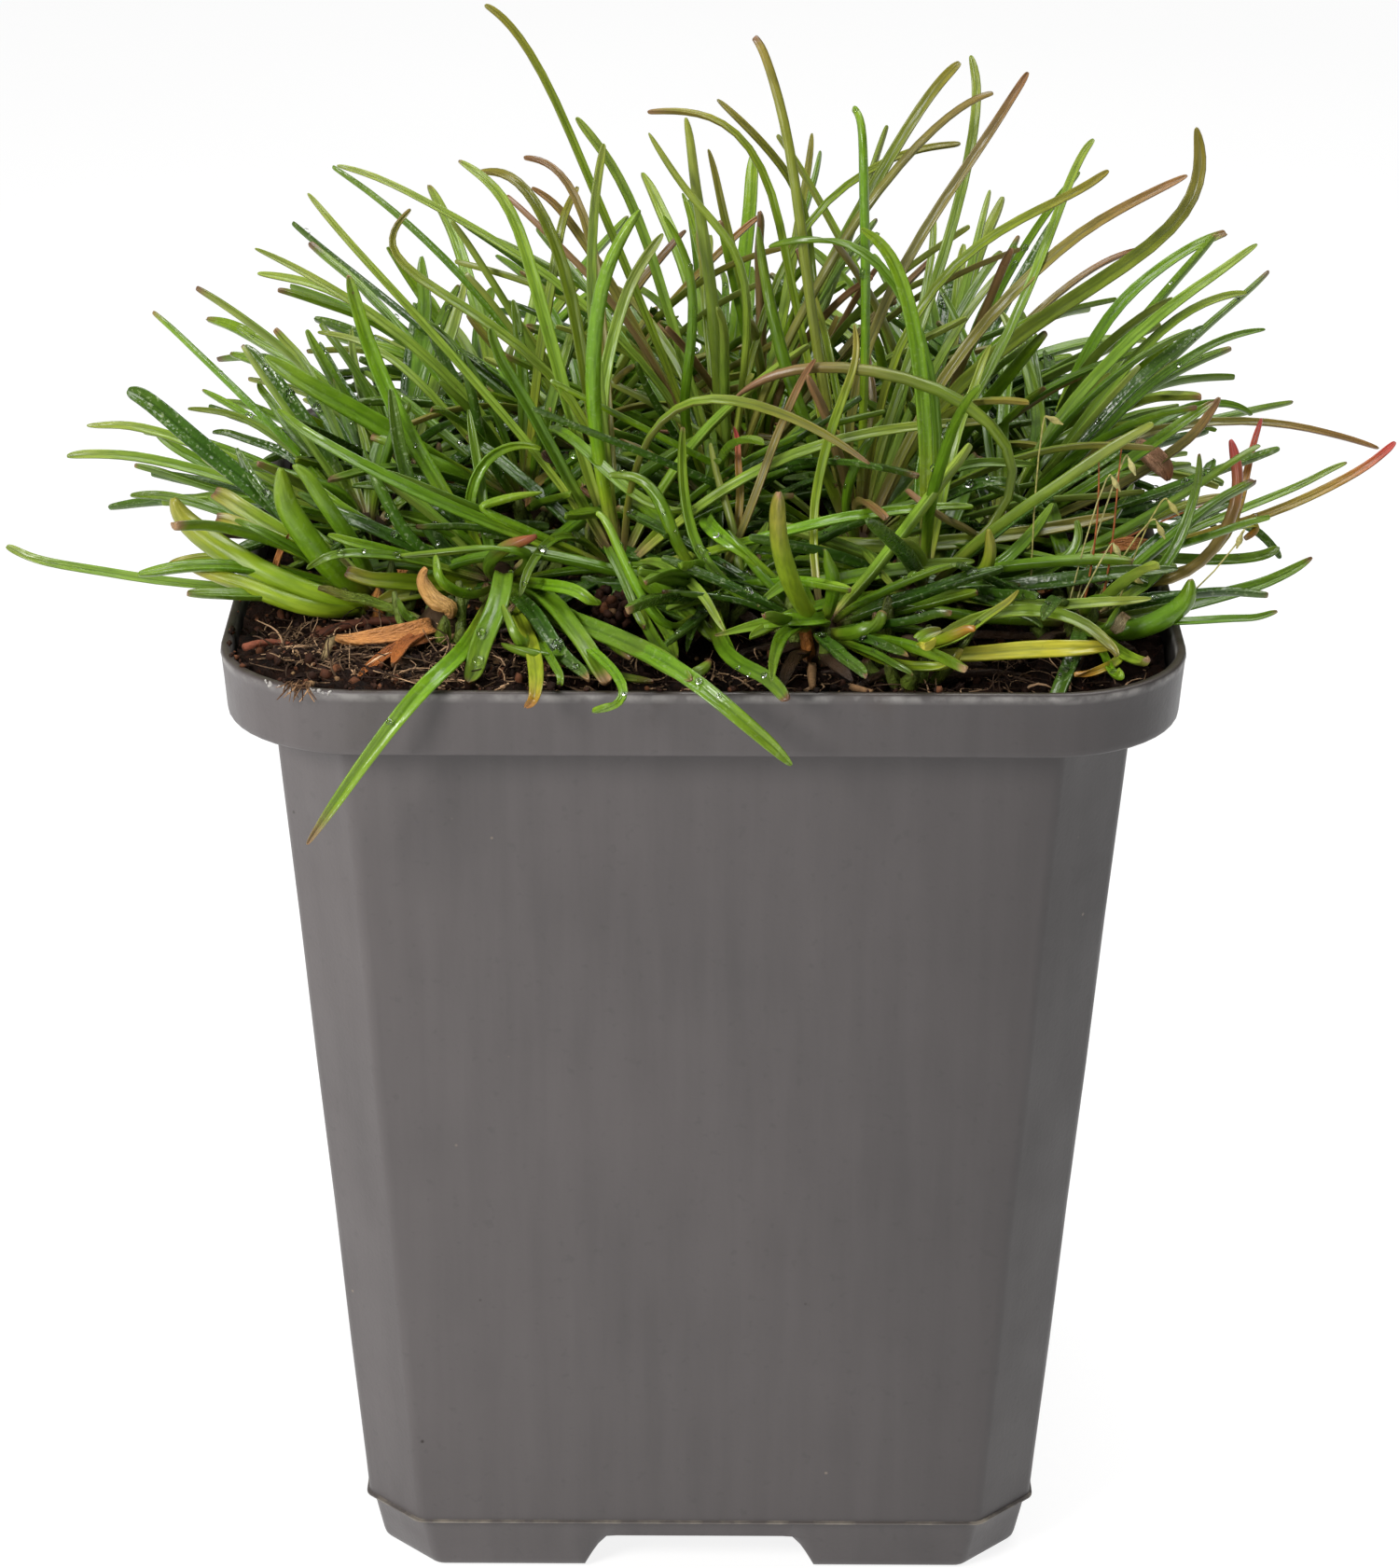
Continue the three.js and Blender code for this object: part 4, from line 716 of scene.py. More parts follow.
class Finish:
    """A material with its one shader, and short calls to add and join nodes."""

    def __init__(self, name):
        self.material = bpy.data.materials.new(name)
        self.material.use_nodes = True
        self.tree = self.material.node_tree
        self.shader = self.tree.nodes["Principled BSDF"]

    def feed(self, target, value):
        """Gives an input another node's output, or a plain value. Colours are three linear values."""
        if isinstance(value, bpy.types.NodeSocket):
            self.tree.links.new(value, target)
        elif target.type == "RGBA":
            target.default_value = (*value, 1.0)
        else:
            target.default_value = value

    def add(self, kind, inputs, **settings):
        """Adds a node with its settings, and with what feeds each of its named inputs."""
        node = self.tree.nodes.new(kind)
        for key, value in settings.items():
            setattr(node, key, value)
        for name, value in inputs.items():
            self.feed(node.inputs[name], value)
        return node

    def place(self, scale=(1, 1, 1)):
        """Object coordinates in metres, stretched by `scale` along each axis."""
        where = self.add("ShaderNodeTexCoord", {}).outputs["Object"]
        return self.add("ShaderNodeMapping", {"Vector": where, "Scale": scale}).outputs["Vector"]

    def noise(self, where, scale, detail=3.0, rough=0.55):
        inputs = {"Vector": where, "Scale": scale, "Detail": detail, "Roughness": rough}
        return self.add("ShaderNodeTexNoise", inputs).outputs["Fac"]

    def cells(self, where, scale):
        """How far each place is from the nearest of many strewn points."""
        return self.add("ShaderNodeTexVoronoi", {"Vector": where, "Scale": scale}).outputs["Distance"]

    def band(self, value, low, high, bottom=0.0, top=1.0):
        """Spreads the values from `low` to `high` over those from `bottom` to `top`."""
        inputs = {"Value": value, "From Min": low, "From Max": high, "To Min": bottom, "To Max": top}
        return self.add("ShaderNodeMapRange", inputs).outputs["Result"]

    def patches(self, where, scale, detail, *limits):
        """A band of noise."""
        return self.band(self.noise(where, scale, detail), *limits)

    def stripe(self, value, begins, full, fades, ends):
        """1 from `full` to `fades`, and 0 before `begins` and after `ends`."""
        return self.times(self.band(value, begins, full), self.band(value, fades, ends, 1, 0))

    def work_out(self, operation, *values):
        node = self.add("ShaderNodeMath", {}, operation=operation)
        for target, value in zip(node.inputs, values):
            self.feed(target, value)
        return node.outputs["Value"]

    def times(self, first, second):
        return self.work_out("MULTIPLY", first, second)

    def mix(self, share, first, second, way="MIX"):
        """Mixes two colours, each a socket or three linear values."""
        node = self.add("ShaderNodeMix", {"Factor": share}, data_type="RGBA", blend_type=way)
        for name, value in (("A", first), ("B", second)):
            self.feed(next(s for s in node.inputs if s.name == name and s.type == "RGBA"), value)
        return next(s for s in node.outputs if s.type == "RGBA")

    def tint(self, body, share, seen):
        """Mixes some of a colour, seen as sRGB 0 to 255, into the body's."""
        return self.mix(share, body, linear(seen))

    def scaled(self, colour, factors):
        return self.mix(1.0, colour, factors, "MULTIPLY")

    def measure(self, name, output="Fac"):
        """What the mesh's corners carry under that name."""
        node = self.add("ShaderNodeAttribute", {}, attribute_name=name, attribute_type="GEOMETRY")
        return node.outputs[output]

    def leaf_lane(self, wide, long):
        """Where a point lies on its own leaf, for streaks that run along it and differ between leaves."""
        inputs = {
            "X": self.times(self.measure("across"), wide),
            "Y": self.times(self.measure("along"), long),
            "Z": self.measure("own"),
        }
        return self.add("ShaderNodeCombineXYZ", inputs).outputs["Vector"]

    def bump(self, height, depth, strength, under=None):
        inputs = {"Height": height, "Distance": depth, "Strength": strength}
        if under is not None:
            inputs["Normal"] = under
        return self.add("ShaderNodeBump", inputs).outputs["Normal"]

    def finish(self, inputs):
        """Feeds the shader and returns the material."""
        for name, value in inputs.items():
            self.feed(self.shader.inputs[name], value)
        return self.material


def pot_plastic():
    """Satin grey moulded plastic: faint upright flow marks, dust specks, a pale seam, a worn lip, painted light
    and shade.
    """
    look = Finish("grey_pot_plastic")
    even = look.place()
    axes = look.add("ShaderNodeSeparateXYZ", {"Vector": even}).outputs
    sideways = axes["X"]
    height = axes["Z"]
    flow_marks = look.noise(look.place((1, 1, 0.035)), 420, 3)
    body = look.mix(look.patches(even, 38, 4, 0.3, 0.7), linear((73, 69, 69)), linear((81, 76, 76)))
    body = look.tint(body, look.band(flow_marks, 0.35, 0.75, 0, 0.35), (92, 87, 87))
    body = look.tint(body, look.patches(even, 900, 2, 0.62, 0.75, 0, 0.25), (60, 58, 57))
    # Painted light and shade: the plastic is painted paler towards the left and darker towards the right, as
    # the lamp at the left falls on it.
    painted_light_falloff = look.band(sideways, -0.045, 0.045, 1.23, 0.76)
    painted_shade_right_end = look.band(sideways, 0.018, 0.046, 1, 0.76)
    body = look.scaled(body, look.times(painted_light_falloff, painted_shade_right_end))
    grime = look.times(look.band(height, 0.0945, 0.1005), look.patches(even, 150, 5, 0.56, 0.72))
    body = look.tint(body, look.times(grime, 0.5), (62, 50, 40))
    dust = look.band(look.cells(even, 260), 0.025, 0.055, 0.8, 0)
    dust = look.times(dust, look.patches(even, 61, 1, 0.62, 0.64))
    body = look.tint(body, dust, (128, 116, 104))
    dirt = look.band(look.cells(look.place((1.3, 1.1, 1.2)), 210), 0.03, 0.07, 1, 0)
    dirt = look.times(dirt, look.patches(even, 47, 1, 0.58, 0.6))
    body = look.tint(body, dirt, (38, 30, 26))
    seam = look.times(look.stripe(height, *SEAM_HEIGHTS), look.patches(even, 300, 4, 0.46, 0.68, 0.15, 1))
    body = look.tint(body, seam, (140, 132, 120))
    lip = look.times(look.stripe(height, *LIP_HEIGHTS), look.patches(even, 420, 4, 0.4, 0.62, 0.15, 0.95))
    body = look.tint(body, lip, (134, 131, 128))
    soil = look.times(look.band(height, 0.0998, 0.09998), look.patches(even, 260, 5, 0.3, 0.6, 0.45, 0.95))
    body = look.tint(body, soil, (50, 40, 33))
    grain = look.bump(look.noise(even, 2600, 2), 0.00004, 0.5)
    return look.finish({
        "Base Color": body,
        "Roughness": look.patches(even, 120, 5, 0.3, 0.7, 0.36, 0.5),
        "Normal": look.bump(flow_marks, 0.00008, 0.35, grain),
        "Specular IOR Level": 0.45,
    })


def peat():
    """Crumbly dark brown peat, mottled down to its grains."""
    look = Finish("dark_peat")
    even = look.place()
    mottle = look.noise(even, 240, 6, 0.65)
    grain = look.noise(even, 1500, 5, 0.7)
    body = look.mix(look.band(mottle, 0.35, 0.68), linear((9, 4, 2)), linear((36, 19, 11)))
    pits = look.bump(look.cells(even, 900), 0.0006, 0.7)
    return look.finish({
        "Base Color": look.tint(body, look.band(grain, 0.54, 0.75, 0, 0.6), (82, 48, 28)),
        "Roughness": look.patches(even, 620, 3, 0.55, 0.66, 0.95, 0.2),
        "Normal": look.bump(grain, 0.0008, 0.8, pits),
        "Specular IOR Level": 0.14,
    })


def litter():
    """Crumbs, fibres and bits of wood, each with the shade that its mesh carries."""
    look = Finish("peat_litter")
    grain = look.noise(look.place(), 1800, 4, 0.7)
    shade = look.measure("litter_shade", "Color")
    return look.finish({
        "Base Color": look.tint(shade, look.band(grain, 0.3, 0.7, 0, 0.55), (24, 14, 9)),
        "Roughness": 0.75,
        "Normal": look.bump(grain, 0.0002, 0.7),
        "Specular IOR Level": 0.2,
    })


def leaf_skin():
    """Fleshy strap leaf: streaked, with painted shade in groove and margins, a flushed underside and a pitted
    sheen with painted glints.
    """
    look = Finish("thrift_leaf")
    even = look.place()
    shade = look.measure("leaf_shade", "Color")
    up = look.measure("up")
    wet = look.measure("wet")
    blush = look.measure("blush")
    off_middle = look.work_out("ABSOLUTE", look.measure("across"))
    lane = look.leaf_lane(0.9, 0.13)
    streaks = look.noise(lane, 3.2, 2)
    folds = look.noise(lane, 2.6, 0.5)
    mottle = look.noise(even, 300, 1)
    dark = look.scaled(shade, (0.4, 0.46, 0.42))
    pale = look.scaled(shade, (1.5, 1.38, 1.36))
    body = look.mix(look.band(streaks, 0.36, 0.52, 0.34, 0), shade, dark)
    body = look.mix(look.band(streaks, 0.5, 0.68, 0, 0.36), body, pale)
    body = look.mix(look.band(mottle, 0.48, 0.72, 0, 0.4), body, pale)
    underside = look.times(look.band(up, -0.4, 0.1, 1, 0), blush)
    body = look.tint(body, look.times(underside, 0.7), (142, 108, 84))
    # Painted shade: the middle of the groove on the upper side is painted darker, as if the channel lay in
    # shade.
    groove = look.times(look.band(off_middle, 0.02, 0.22, 0.6, 0), look.band(up, 0.3, 0.7))
    body = look.mix(groove, body, dark)
    # Painted shade: the margins, where the blade turns away from the light, are painted darker, and browner on
    # reddish leaves.
    margin = look.band(off_middle, 0.78, 1.0)
    body = look.mix(look.times(margin, 0.62), body, dark)
    body = look.tint(body, look.times(look.times(margin, blush), 0.55), (124, 74, 52))
    wetter = look.band(wet, 0.25, 1, 0, 0.85)
    # Painted highlights: pale specks painted into the colour of wet leaves as glints of light.
    painted_glint = look.times(look.patches(even, 2100, 2, 0.58, 0.68, 0, 0.36), wetter)
    body = look.tint(body, painted_glint, (196, 208, 160))
    spots = look.band(look.cells(even, 520), 0.05, 0.1, 1, 0)
    spots = look.times(spots, look.patches(even, 130, 1, 0.62, 0.64, 0, 0.7))
    pits = look.bump(look.times(look.cells(even, 2200), wetter), 0.0001, 0.7)
    dry_gloss = look.band(mottle, 0.3, 0.7, 0.3, 0.44)
    return look.finish({
        "Base Color": look.tint(body, spots, (92, 66, 40)),
        "Roughness": look.work_out("SUBTRACT", dry_gloss, look.times(wet, 0.15)),
        "Normal": look.bump(folds, 0.0002, 0.6, pits),
        "Specular IOR Level": 0.42,
        "Subsurface Weight": 0.06,
        "Subsurface Radius": (0.5, 0.8, 0.15),
        "Subsurface Scale": 0.0008,
    })


def dry_skin():
    """Withered leaf and papery sheath: dull, streaked along its length, finely wrinkled, with painted shade at
    its margins.
    """
    look = Finish("withered_skin")
    even = look.place()
    shade = look.measure("leaf_shade", "Color")
    lines = look.noise(look.leaf_lane(1.6, 0.45), 3.2, 4)
    darker = look.scaled(shade, (0.5, 0.4, 0.33))
    paler = look.scaled(shade, (1.35, 1.3, 1.26))
    body = look.mix(look.band(lines, 0.42, 0.62, 0, 0.6), shade, darker)
    body = look.mix(look.patches(even, 420, 5, 0.45, 0.72, 0, 0.55), body, paler)
    off_middle = look.work_out("ABSOLUTE", look.measure("across"))
    wrinkles = look.bump(lines, 0.0005, 1.0)
    return look.finish({
        # Painted shade: the margins, where the blade turns away from the light, are painted darker.
        "Base Color": look.mix(look.band(off_middle, 0.8, 1.0, 0, 0.6), body, darker),
        "Roughness": 0.5,
        "Normal": look.bump(look.noise(even, 1500, 3), 0.0002, 0.8, wrinkles),
    })


def water():
    """Clear water drop."""
    look = Finish("water_drop")
    return look.finish({
        "Base Color": (1, 1, 1),
        "Roughness": 0.02,
        "IOR": 1.33,
        "Transmission Weight": 1.0,
        "Normal": look.bump(look.noise(look.place(), 900, 1), 0.00002, 0.2),
    })


# Building the pot


def square_outline(width, cut, rounding):
    """Points anticlockwise round a square whose corners are cut and rounded, with stops along the sides."""
    half = width / 2
    slope = math.tan(math.radians(22.5))
    spare = min(rounding * slope, cut * 0.7071)
    rounding = spare / slope
    straight = half - cut - spare
    corner = []
    for x, y, start in ((half - rounding, straight, 0), (straight, half - rounding, 45)):
        for step in range(CORNER_STEPS + 1):
            turn = math.radians(start + 45 * step / CORNER_STEPS)
            corner.append((x + rounding * math.cos(turn), y + rounding * math.sin(turn)))
    closer = min(1.0, max(0.0, straight) / SIDE_STOPS[0])
    side = [(stop * closer, half) for stop in SIDE_STOPS]
    quarter = corner + side
    points = []
    for _ in range(4):
        points += quarter
        quarter = [(-y, x) for x, y in quarter]
    return points


def notch_share(x, y):
    """How far the foot is cut away: 0 at a corner of its outline and 1 in the middle of a side."""
    along_side = min(abs(x), abs(y))
    share = min(1.0, max(0.0, (NOTCH_LOW - along_side) / (NOTCH_LOW - NOTCH_HIGH)))
    return math.sin(share * math.pi / 2)


def drill_holes(piece):
    """Cuts the drain holes through the floor."""
    bm = bmesh.new()
    for x, y in ((0, 0), (DRAIN_SPACING, 0), (-DRAIN_SPACING, 0), (0, DRAIN_SPACING), (0, -DRAIN_SPACING)):
        bmesh.ops.create_cone(
            bm,
            cap_ends=True,
            segments=40,
            radius1=DRAIN_RADIUS,
            radius2=DRAIN_RADIUS,
            depth=6,
            matrix=Matrix.Translation((x, y, FLOOR_UNDERSIDE)),
        )
    bmesh.ops.scale(bm, vec=(MM, MM, MM), verts=bm.verts)
    drills = stand("drills", mesh_from(bm, "drills"))
    cut = piece.modifiers.new("drain_holes", "BOOLEAN")
    cut.operation = "DIFFERENCE"
    cut.solver = "EXACT"
    cut.object = drills
    bpy.context.view_layer.update()
    shaped = piece.evaluated_get(bpy.context.evaluated_depsgraph_get())
    drilled = bpy.data.meshes.new_from_object(shaped)
    piece.modifiers.clear()
    piece.data = drilled
    bpy.data.objects.remove(drills)


def build_pot(finish):
    """The pot's skin, drawn through the rows of its profile, with its notched foot and its drain holes."""
    rows = len(POT_PROFILE) - 1
    outlines = [square_outline(width, cut, rounding) for _, width, cut, rounding in POT_PROFILE]
    stops = len(outlines[0])
    bm = bmesh.new()
    bmesh.ops.create_grid(bm, x_segments=stops, y_segments=rows, size=0.5)
    for vert in bm.verts:
        column = round((vert.co.x + 0.5) * stops) % stops
        row = round((vert.co.y + 0.5) * rows)
        x, y = outlines[row][column]
        z, width = POT_PROFILE[row][:2]
        if z < FLOOR_UNDERSIDE and width > 60:
            z += (NOTCH_TOP - z) * notch_share(x, y)
        vert.co = (x, y, z)
    bmesh.ops.remove_doubles(bm, verts=bm.verts, dist=0.0005)
    ends = [edge for edge in bm.edges if edge.is_boundary]
    bmesh.ops.holes_fill(bm, edges=ends, sides=0)
    bmesh.ops.recalc_face_normals(bm, faces=bm.faces)
    pot = make_piece(bm, "pot_shell", finish, ("pot",))
    drill_holes(pot)
    pot.data.set_sharp_from_angle(angle=math.radians(50))


# Building the soil


def hump(x, y, place, height, spread):
    """A smooth rise round a place, or a dip if its height is negative."""
    return height * math.exp(-((x - place[0]) ** 2 + (y - place[1]) ** 2) / spread)


def soil_top(x, y):
    """Height of the soil, mounded under the plant and sunk towards the right front corner."""
    reach = min(1.0, math.hypot(x, y) / SOIL_MOUND_REACH)
    mound = SOIL_MOUND * (1 - reach * reach)
    clods = (
        0.45 * math.sin(0.31 * x + 1.3) * math.cos(0.27 * y - 0.4)
        + 0.3 * math.sin(0.47 * x - 0.38 * y)
        + 0.25 * math.cos(0.4 * x + 0.51 * y + 2)
    )
    return SOIL_LEVEL + mound + hump(x, y, *SLUMP) + clods


def fine_soil_top(x, y):
    """The soil's height with the small clods and the heap at the left front that the solids leave out."""
    small = noise.noise(Vector((x * 0.55, y * 0.55, 3.1))) * 0.8
    tiny = noise.noise(Vector((x * 1.9, y * 1.9, 7.7))) * 0.55
    return soil_top(x, y) + small + tiny + (HEAP_BASE + hump(x, y, *HEAP))


def on_fine_soil(x, y, above):
    return x, y, fine_soil_top(x, y) + above


def rounded_square(x, y, half, corner=SOIL_CORNER):
    """Moves a point of a square to the same place in a square with round corners."""
    straight = half - corner
    over_x = max(0.0, abs(x) - straight)
    over_y = max(0.0, abs(y) - straight)
    if over_x == 0 or over_y == 0:
        return x, y
    pull = max(over_x, over_y) / math.hypot(over_x, over_y)
    new_x = math.copysign(straight + over_x * pull, x)
    new_y = math.copysign(straight + over_y * pull, y)
    return new_x, new_y


def anywhere(draw, reach):
    """A place drawn in a square that reaches that far to each side."""
    return (2 * next(draw) - 1) * reach, (2 * next(draw) - 1) * reach


def at_left_front(draw, edge, wide, deep):
    """A place drawn in the soil's left front corner."""
    return -edge + wide * next(draw), -edge + deep * next(draw)


def build_soil(finish):
    """The lumpy top of the soil, with sides that go down inside the pot."""
    bm = bmesh.new()
    bmesh.ops.create_grid(bm, x_segments=SOIL_CELLS, y_segments=SOIL_CELLS, size=SOIL_HALF)
    for vert in bm.verts:
        x, y = rounded_square(vert.co.x, vert.co.y, SOIL_HALF)
        vert.co = on_fine_soil(x, y, 0)
    rim = [edge for edge in bm.edges if edge.is_boundary]
    half = SOIL_HALF
    for z, next_half in SOIL_SIDES:
        grown = bmesh.ops.extrude_edge_only(bm, edges=rim)["geom"]
        rim = [part for part in grown if isinstance(part, bmesh.types.BMEdge)]
        share = next_half / half
        half = next_half
        for vert in {vert for edge in rim for vert in edge.verts}:
            vert.co = (vert.co.x * share, vert.co.y * share, z)
    bmesh.ops.holes_fill(bm, edges=rim, sides=0)
    bmesh.ops.recalc_face_normals(bm, faces=bm.faces)
    make_piece(bm, "soil_bed", finish, ("soil",))


def litter_tone(draw):
    """Shade of one crumb: mostly dark peat, some of it brown, a little of it straw."""
    share = next(draw)
    kind = "dark crumb" if share < 0.8 else "brown crumb" if share < 0.96 else "straw crumb"
    return shade_of(kind, next(draw))


def add_crumb(bm, template, place, radius, draw, tone=None):
    """Adds one knobbly crumb, turned and squashed at random."""
    turn = Euler([6.28 * next(draw) for _ in range(3)]).to_matrix()
    shape = [radius, radius * (0.55 + 0.4 * next(draw)), radius * (0.5 + 0.4 * next(draw))]
    tone = tone or litter_tone(draw)
    corners = add_copy(bm, template)
    layer = bm.verts.layers.float_color["litter_shade"]
    for vert in corners:
        knobbly = [c * s * (0.8 + 0.45 * next(draw)) for c, s in zip(vert.co, shape)]
        vert.co = Vector(place) + turn @ Vector(knobbly)
        vert[layer] = (*tone, 1)


def build_crumbs(finish):
    """Crumbs of peat all over the soil, more of them at the left front, and crumbs and chips on the rim."""
    crumb = start_mesh("litter_shade")
    bmesh.ops.create_icosphere(crumb, subdivisions=1, radius=1)
    template = mesh_from(crumb, "crumb")
    bm = start_mesh("litter_shade")
    draw = number_stream(CRUMB_SEED)
    for number in range(CRUMBS):
        x, y = anywhere(draw, CRUMB_REACH)
        if number % 5 == 0:
            x, y = at_left_front(draw, *CRUMB_CORNER)
        x, y = rounded_square(x, y, CRUMB_EDGE)
        radius = size_of(draw, *CRUMB_SIZE)
        add_crumb(bm, template, on_fine_soil(x, y, 0.3 * radius), radius, draw)
    for _ in range(RIM_CRUMBS):
        along = -40 + 62 * next(draw) ** 1.7
        radius = size_of(draw, *RIM_CRUMB_SIZE)
        across = -44.4 + 0.5 * next(draw)
        place = (along, across) if next(draw) < 0.55 else (across, along)
        x, y = rounded_square(*place, -across, RIM_CORNER)
        add_crumb(bm, template, (x, y, POT_HEIGHT + 0.3 * radius), radius, draw)
    for _ in range(RIM_CHIPS):
        x, y = rounded_square(-42 + 10 * next(draw), -RIM_MIDDLE, RIM_MIDDLE, RIM_CORNER)
        tone = shade_of("chip", next(draw))
        place = (x, y, POT_HEIGHT - 0.5 * next(draw))
        add_crumb(bm, template, place, size_of(draw, *CHIP_SIZE), draw, tone)
    for _ in range(CLUMP_CRUMBS):
        away = heading(360 * next(draw), 90 * next(draw) - 20) * (CLUMP_RADIUS * next(draw) ** 0.4)
        add_crumb(bm, template, Vector(CLUMP) + away, size_of(draw, *CLUMP_CRUMB_SIZE), draw)
    bpy.data.meshes.remove(template)
    make_piece(bm, "peat_crumbs", finish)


# Blades: every leaf, sheath, fibre and stalk is one short tube, bent along its own curve of four points


def blade_template(name, sides, rings, bm):
    """A tube along Z from 0 to 1 with rings at the given heights, closed at both ends."""
    bmesh.ops.create_cone(
        bm,
        cap_ends=True,
        segments=sides,
        radius1=1,
        radius2=1,
        depth=1,
        matrix=Matrix.Translation((0, 0, 0.5)) @ Matrix.Rotation(math.radians(90), 4, "Z"),
    )
    for height in rings:
        parts = bm.verts[:] + bm.edges[:] + bm.faces[:]
        bmesh.ops.bisect_plane(bm, geom=parts, plane_co=(0, 0, height), plane_no=(0, 0, 1), dist=0.001)
    return mesh_from(bm, name)


def curve_point(points, t):
    a, b, c, d = points
    s = 1 - t
    return a * (s * s * s) + b * (3 * s * s * t) + c * (3 * s * t * t) + d * (t * t * t)


def curve_heading(points, t):
    a, b, c, d = points
    s = 1 - t
    slope = (b - a) * (s * s) + (c - b) * (2 * s * t) + (d - c) * (t * t)
    return slope.normalized()


def bent_path(start, azimuth, sway, lift, droop, length, middle=0.5, settle=None):
    """Four points of a curve that turns by `sway` and sinks by `droop` degrees. `settle` moves each."""
    points = [start]
    for bent in (0, middle, 1):
        step = heading(azimuth + sway * bent, lift - droop * bent)
        point = points[-1] + step * (length / 3)
        if settle:
            settle(point)
        points.append(point)
    return points


def flat_side(azimuth, along):
    """The sideways direction of a blade that lies flat and heads along `along`."""
    turn = math.radians(azimuth)
    level = Vector((-math.sin(turn), math.cos(turn), 0))
    return (level - along * level.dot(along)).normalized()


def cross_frame(leaf, t):
    """Sideways and upward directions of a blade at t, turned as its twist goes on."""
    along = curve_heading(leaf["points"], t)
    side = flat_side(leaf["azimuth"], along)
    side = Matrix.Rotation(math.radians(leaf["roll"] + leaf["twist"] * t), 3, along) @ side
    return side, along.cross(side)


def leaf_length(leaf):
    return (leaf["points"][3] - leaf["points"][0]).length


def leaf_keel(leaf):
    """How thick a leaf is at its thickest."""
    return max(LEAST_KEEL, KEEL_SHARE * leaf["width"])


def width_at(leaf, t):
    """Share of a leaf's full width: narrow at its root, slimmer past its middle and rounded at its tip."""
    share = leaf["foot"] + (1 - leaf["foot"]) * min(1.0, t / 0.35)
    share *= 1 - leaf["slimming"] * max(0.0, (t - 0.5) / 0.5) ** 1.4
    cap = min(0.3, TIP_ROUNDING * leaf["width"] / leaf_length(leaf))
    past = max(0.0, (t - 1 + cap) / (cap * 1.03))
    return share * math.sqrt(max(0.0, 1 - past * past))


def leaf_section(across, up, channel):
    """A leaf's cross section: grooved above and rounded below."""
    if up > 0.1:
        return across, 0.36 - channel * max(0.0, 1 - 1.3 * abs(across))
    return across * (1 - 0.1 * abs(up)), 0.24 + up


def leaf_tone(leaf, t):
    """The shade at t, with a papery foot and often a brown tip."""
    root, blade, tip = leaf["tones"]
    if t < 0.3:
        tone = blend(root, blade, ease(0.04, 0.3, t))
    else:
        tone = blend(blade, tip, ease(0.55, 0.98, t))
    tone = blend(linear(FOOT_SHADE), tone, ease(0.02, 0.13, t))
    burnt = leaf["burnt"]
    if burnt:
        tone = blend(tone, leaf["burn"], ease(1 - burnt, 1 - 0.4 * burnt, t))
    return tone


def leaf_ring(leaf, t):
    """The middle of a leaf at t, its half width and its keel as vectors, and its shade."""
    side, above = cross_frame(leaf, t)
    sway = noise.noise(Vector((leaf["own"], 4.0 * t, 0.5)))
    nod = noise.noise(Vector((leaf["own"], 4.0 * t, 9.5)))
    loose = min(1.0, 4 * t * (1.05 - t) * 1.6)
    centre = curve_point(leaf["points"], t)
    centre += side * (0.4 * sway * loose) + above * (0.3 * nod * loose)
    blunt = leaf["blunt"] if t < LAST_RING else 0.75 * leaf["blunt"]
    share = max(blunt, width_at(leaf, t))
    half = (WIDTH_SHARE * leaf["width"] - WIDTH_LESS) / 2 * share * (1 + 0.08 * nod)
    keel = leaf_keel(leaf) * (0.55 + 0.45 * share)
    return centre, side * half, above * keel, leaf_tone(leaf, t)


def add_leaf(bm, template, leaf):
    """Bends one copy of the template along the leaf's curve and colours it."""
    corners = add_copy(bm, template)
    shade_layer = bm.verts.layers.float_color["leaf_shade"]
    layers = [bm.verts.layers.float[measure] for measure in LEAF_MEASURES]
    length = leaf_length(leaf)
    rings = {}
    for vert in corners:
        across, up, t = vert.co
        key = round(t, 4)
        if key not in rings:
            rings[key] = leaf_ring(leaf, t)
        centre, side, above, tone = rings[key]
        wide, high = leaf_section(across, up, leaf["channel"])
        vert.co = centre + side * wide + above * high
        vert[shade_layer] = (*tone, 1)
        measures = (t * length, across, up, leaf["wet"], leaf["own"], leaf["blush"])
        for layer, value in zip(layers, measures):
            vert[layer] = value


# Building the tufts


def crown_base(tuft):
    return soil_top(*tuft["at"]) + 0.2


def leaf_root(tuft, azimuth, elevation):
    """Where a leaf leaves its crown, on the side that the leaf heads for."""
    middle = Vector((*tuft["at"], crown_base(tuft) + CROWN_HEIGHT * 0.42))
    return middle + heading(azimuth, elevation) * (CROWN_RADIUS * 0.35)


def roll_to_front(points, azimuth):
    """Degrees by which a leaf turns about its middle line, to show more of its broad side to the front."""
    along = curve_heading(points, 0.6)
    side = flat_side(azimuth, along)
    across = along.cross(FRONT).normalized()
    turn = math.degrees(math.atan2(side.cross(across).dot(along), side.dot(across)))
    return FACING * (turn - 180 * round(turn / 180))


def as_leaf(points, azimuth, width, roll, twist):
    return {"points": points, "azimuth": azimuth, "width": width, "roll": roll, "twist": twist}


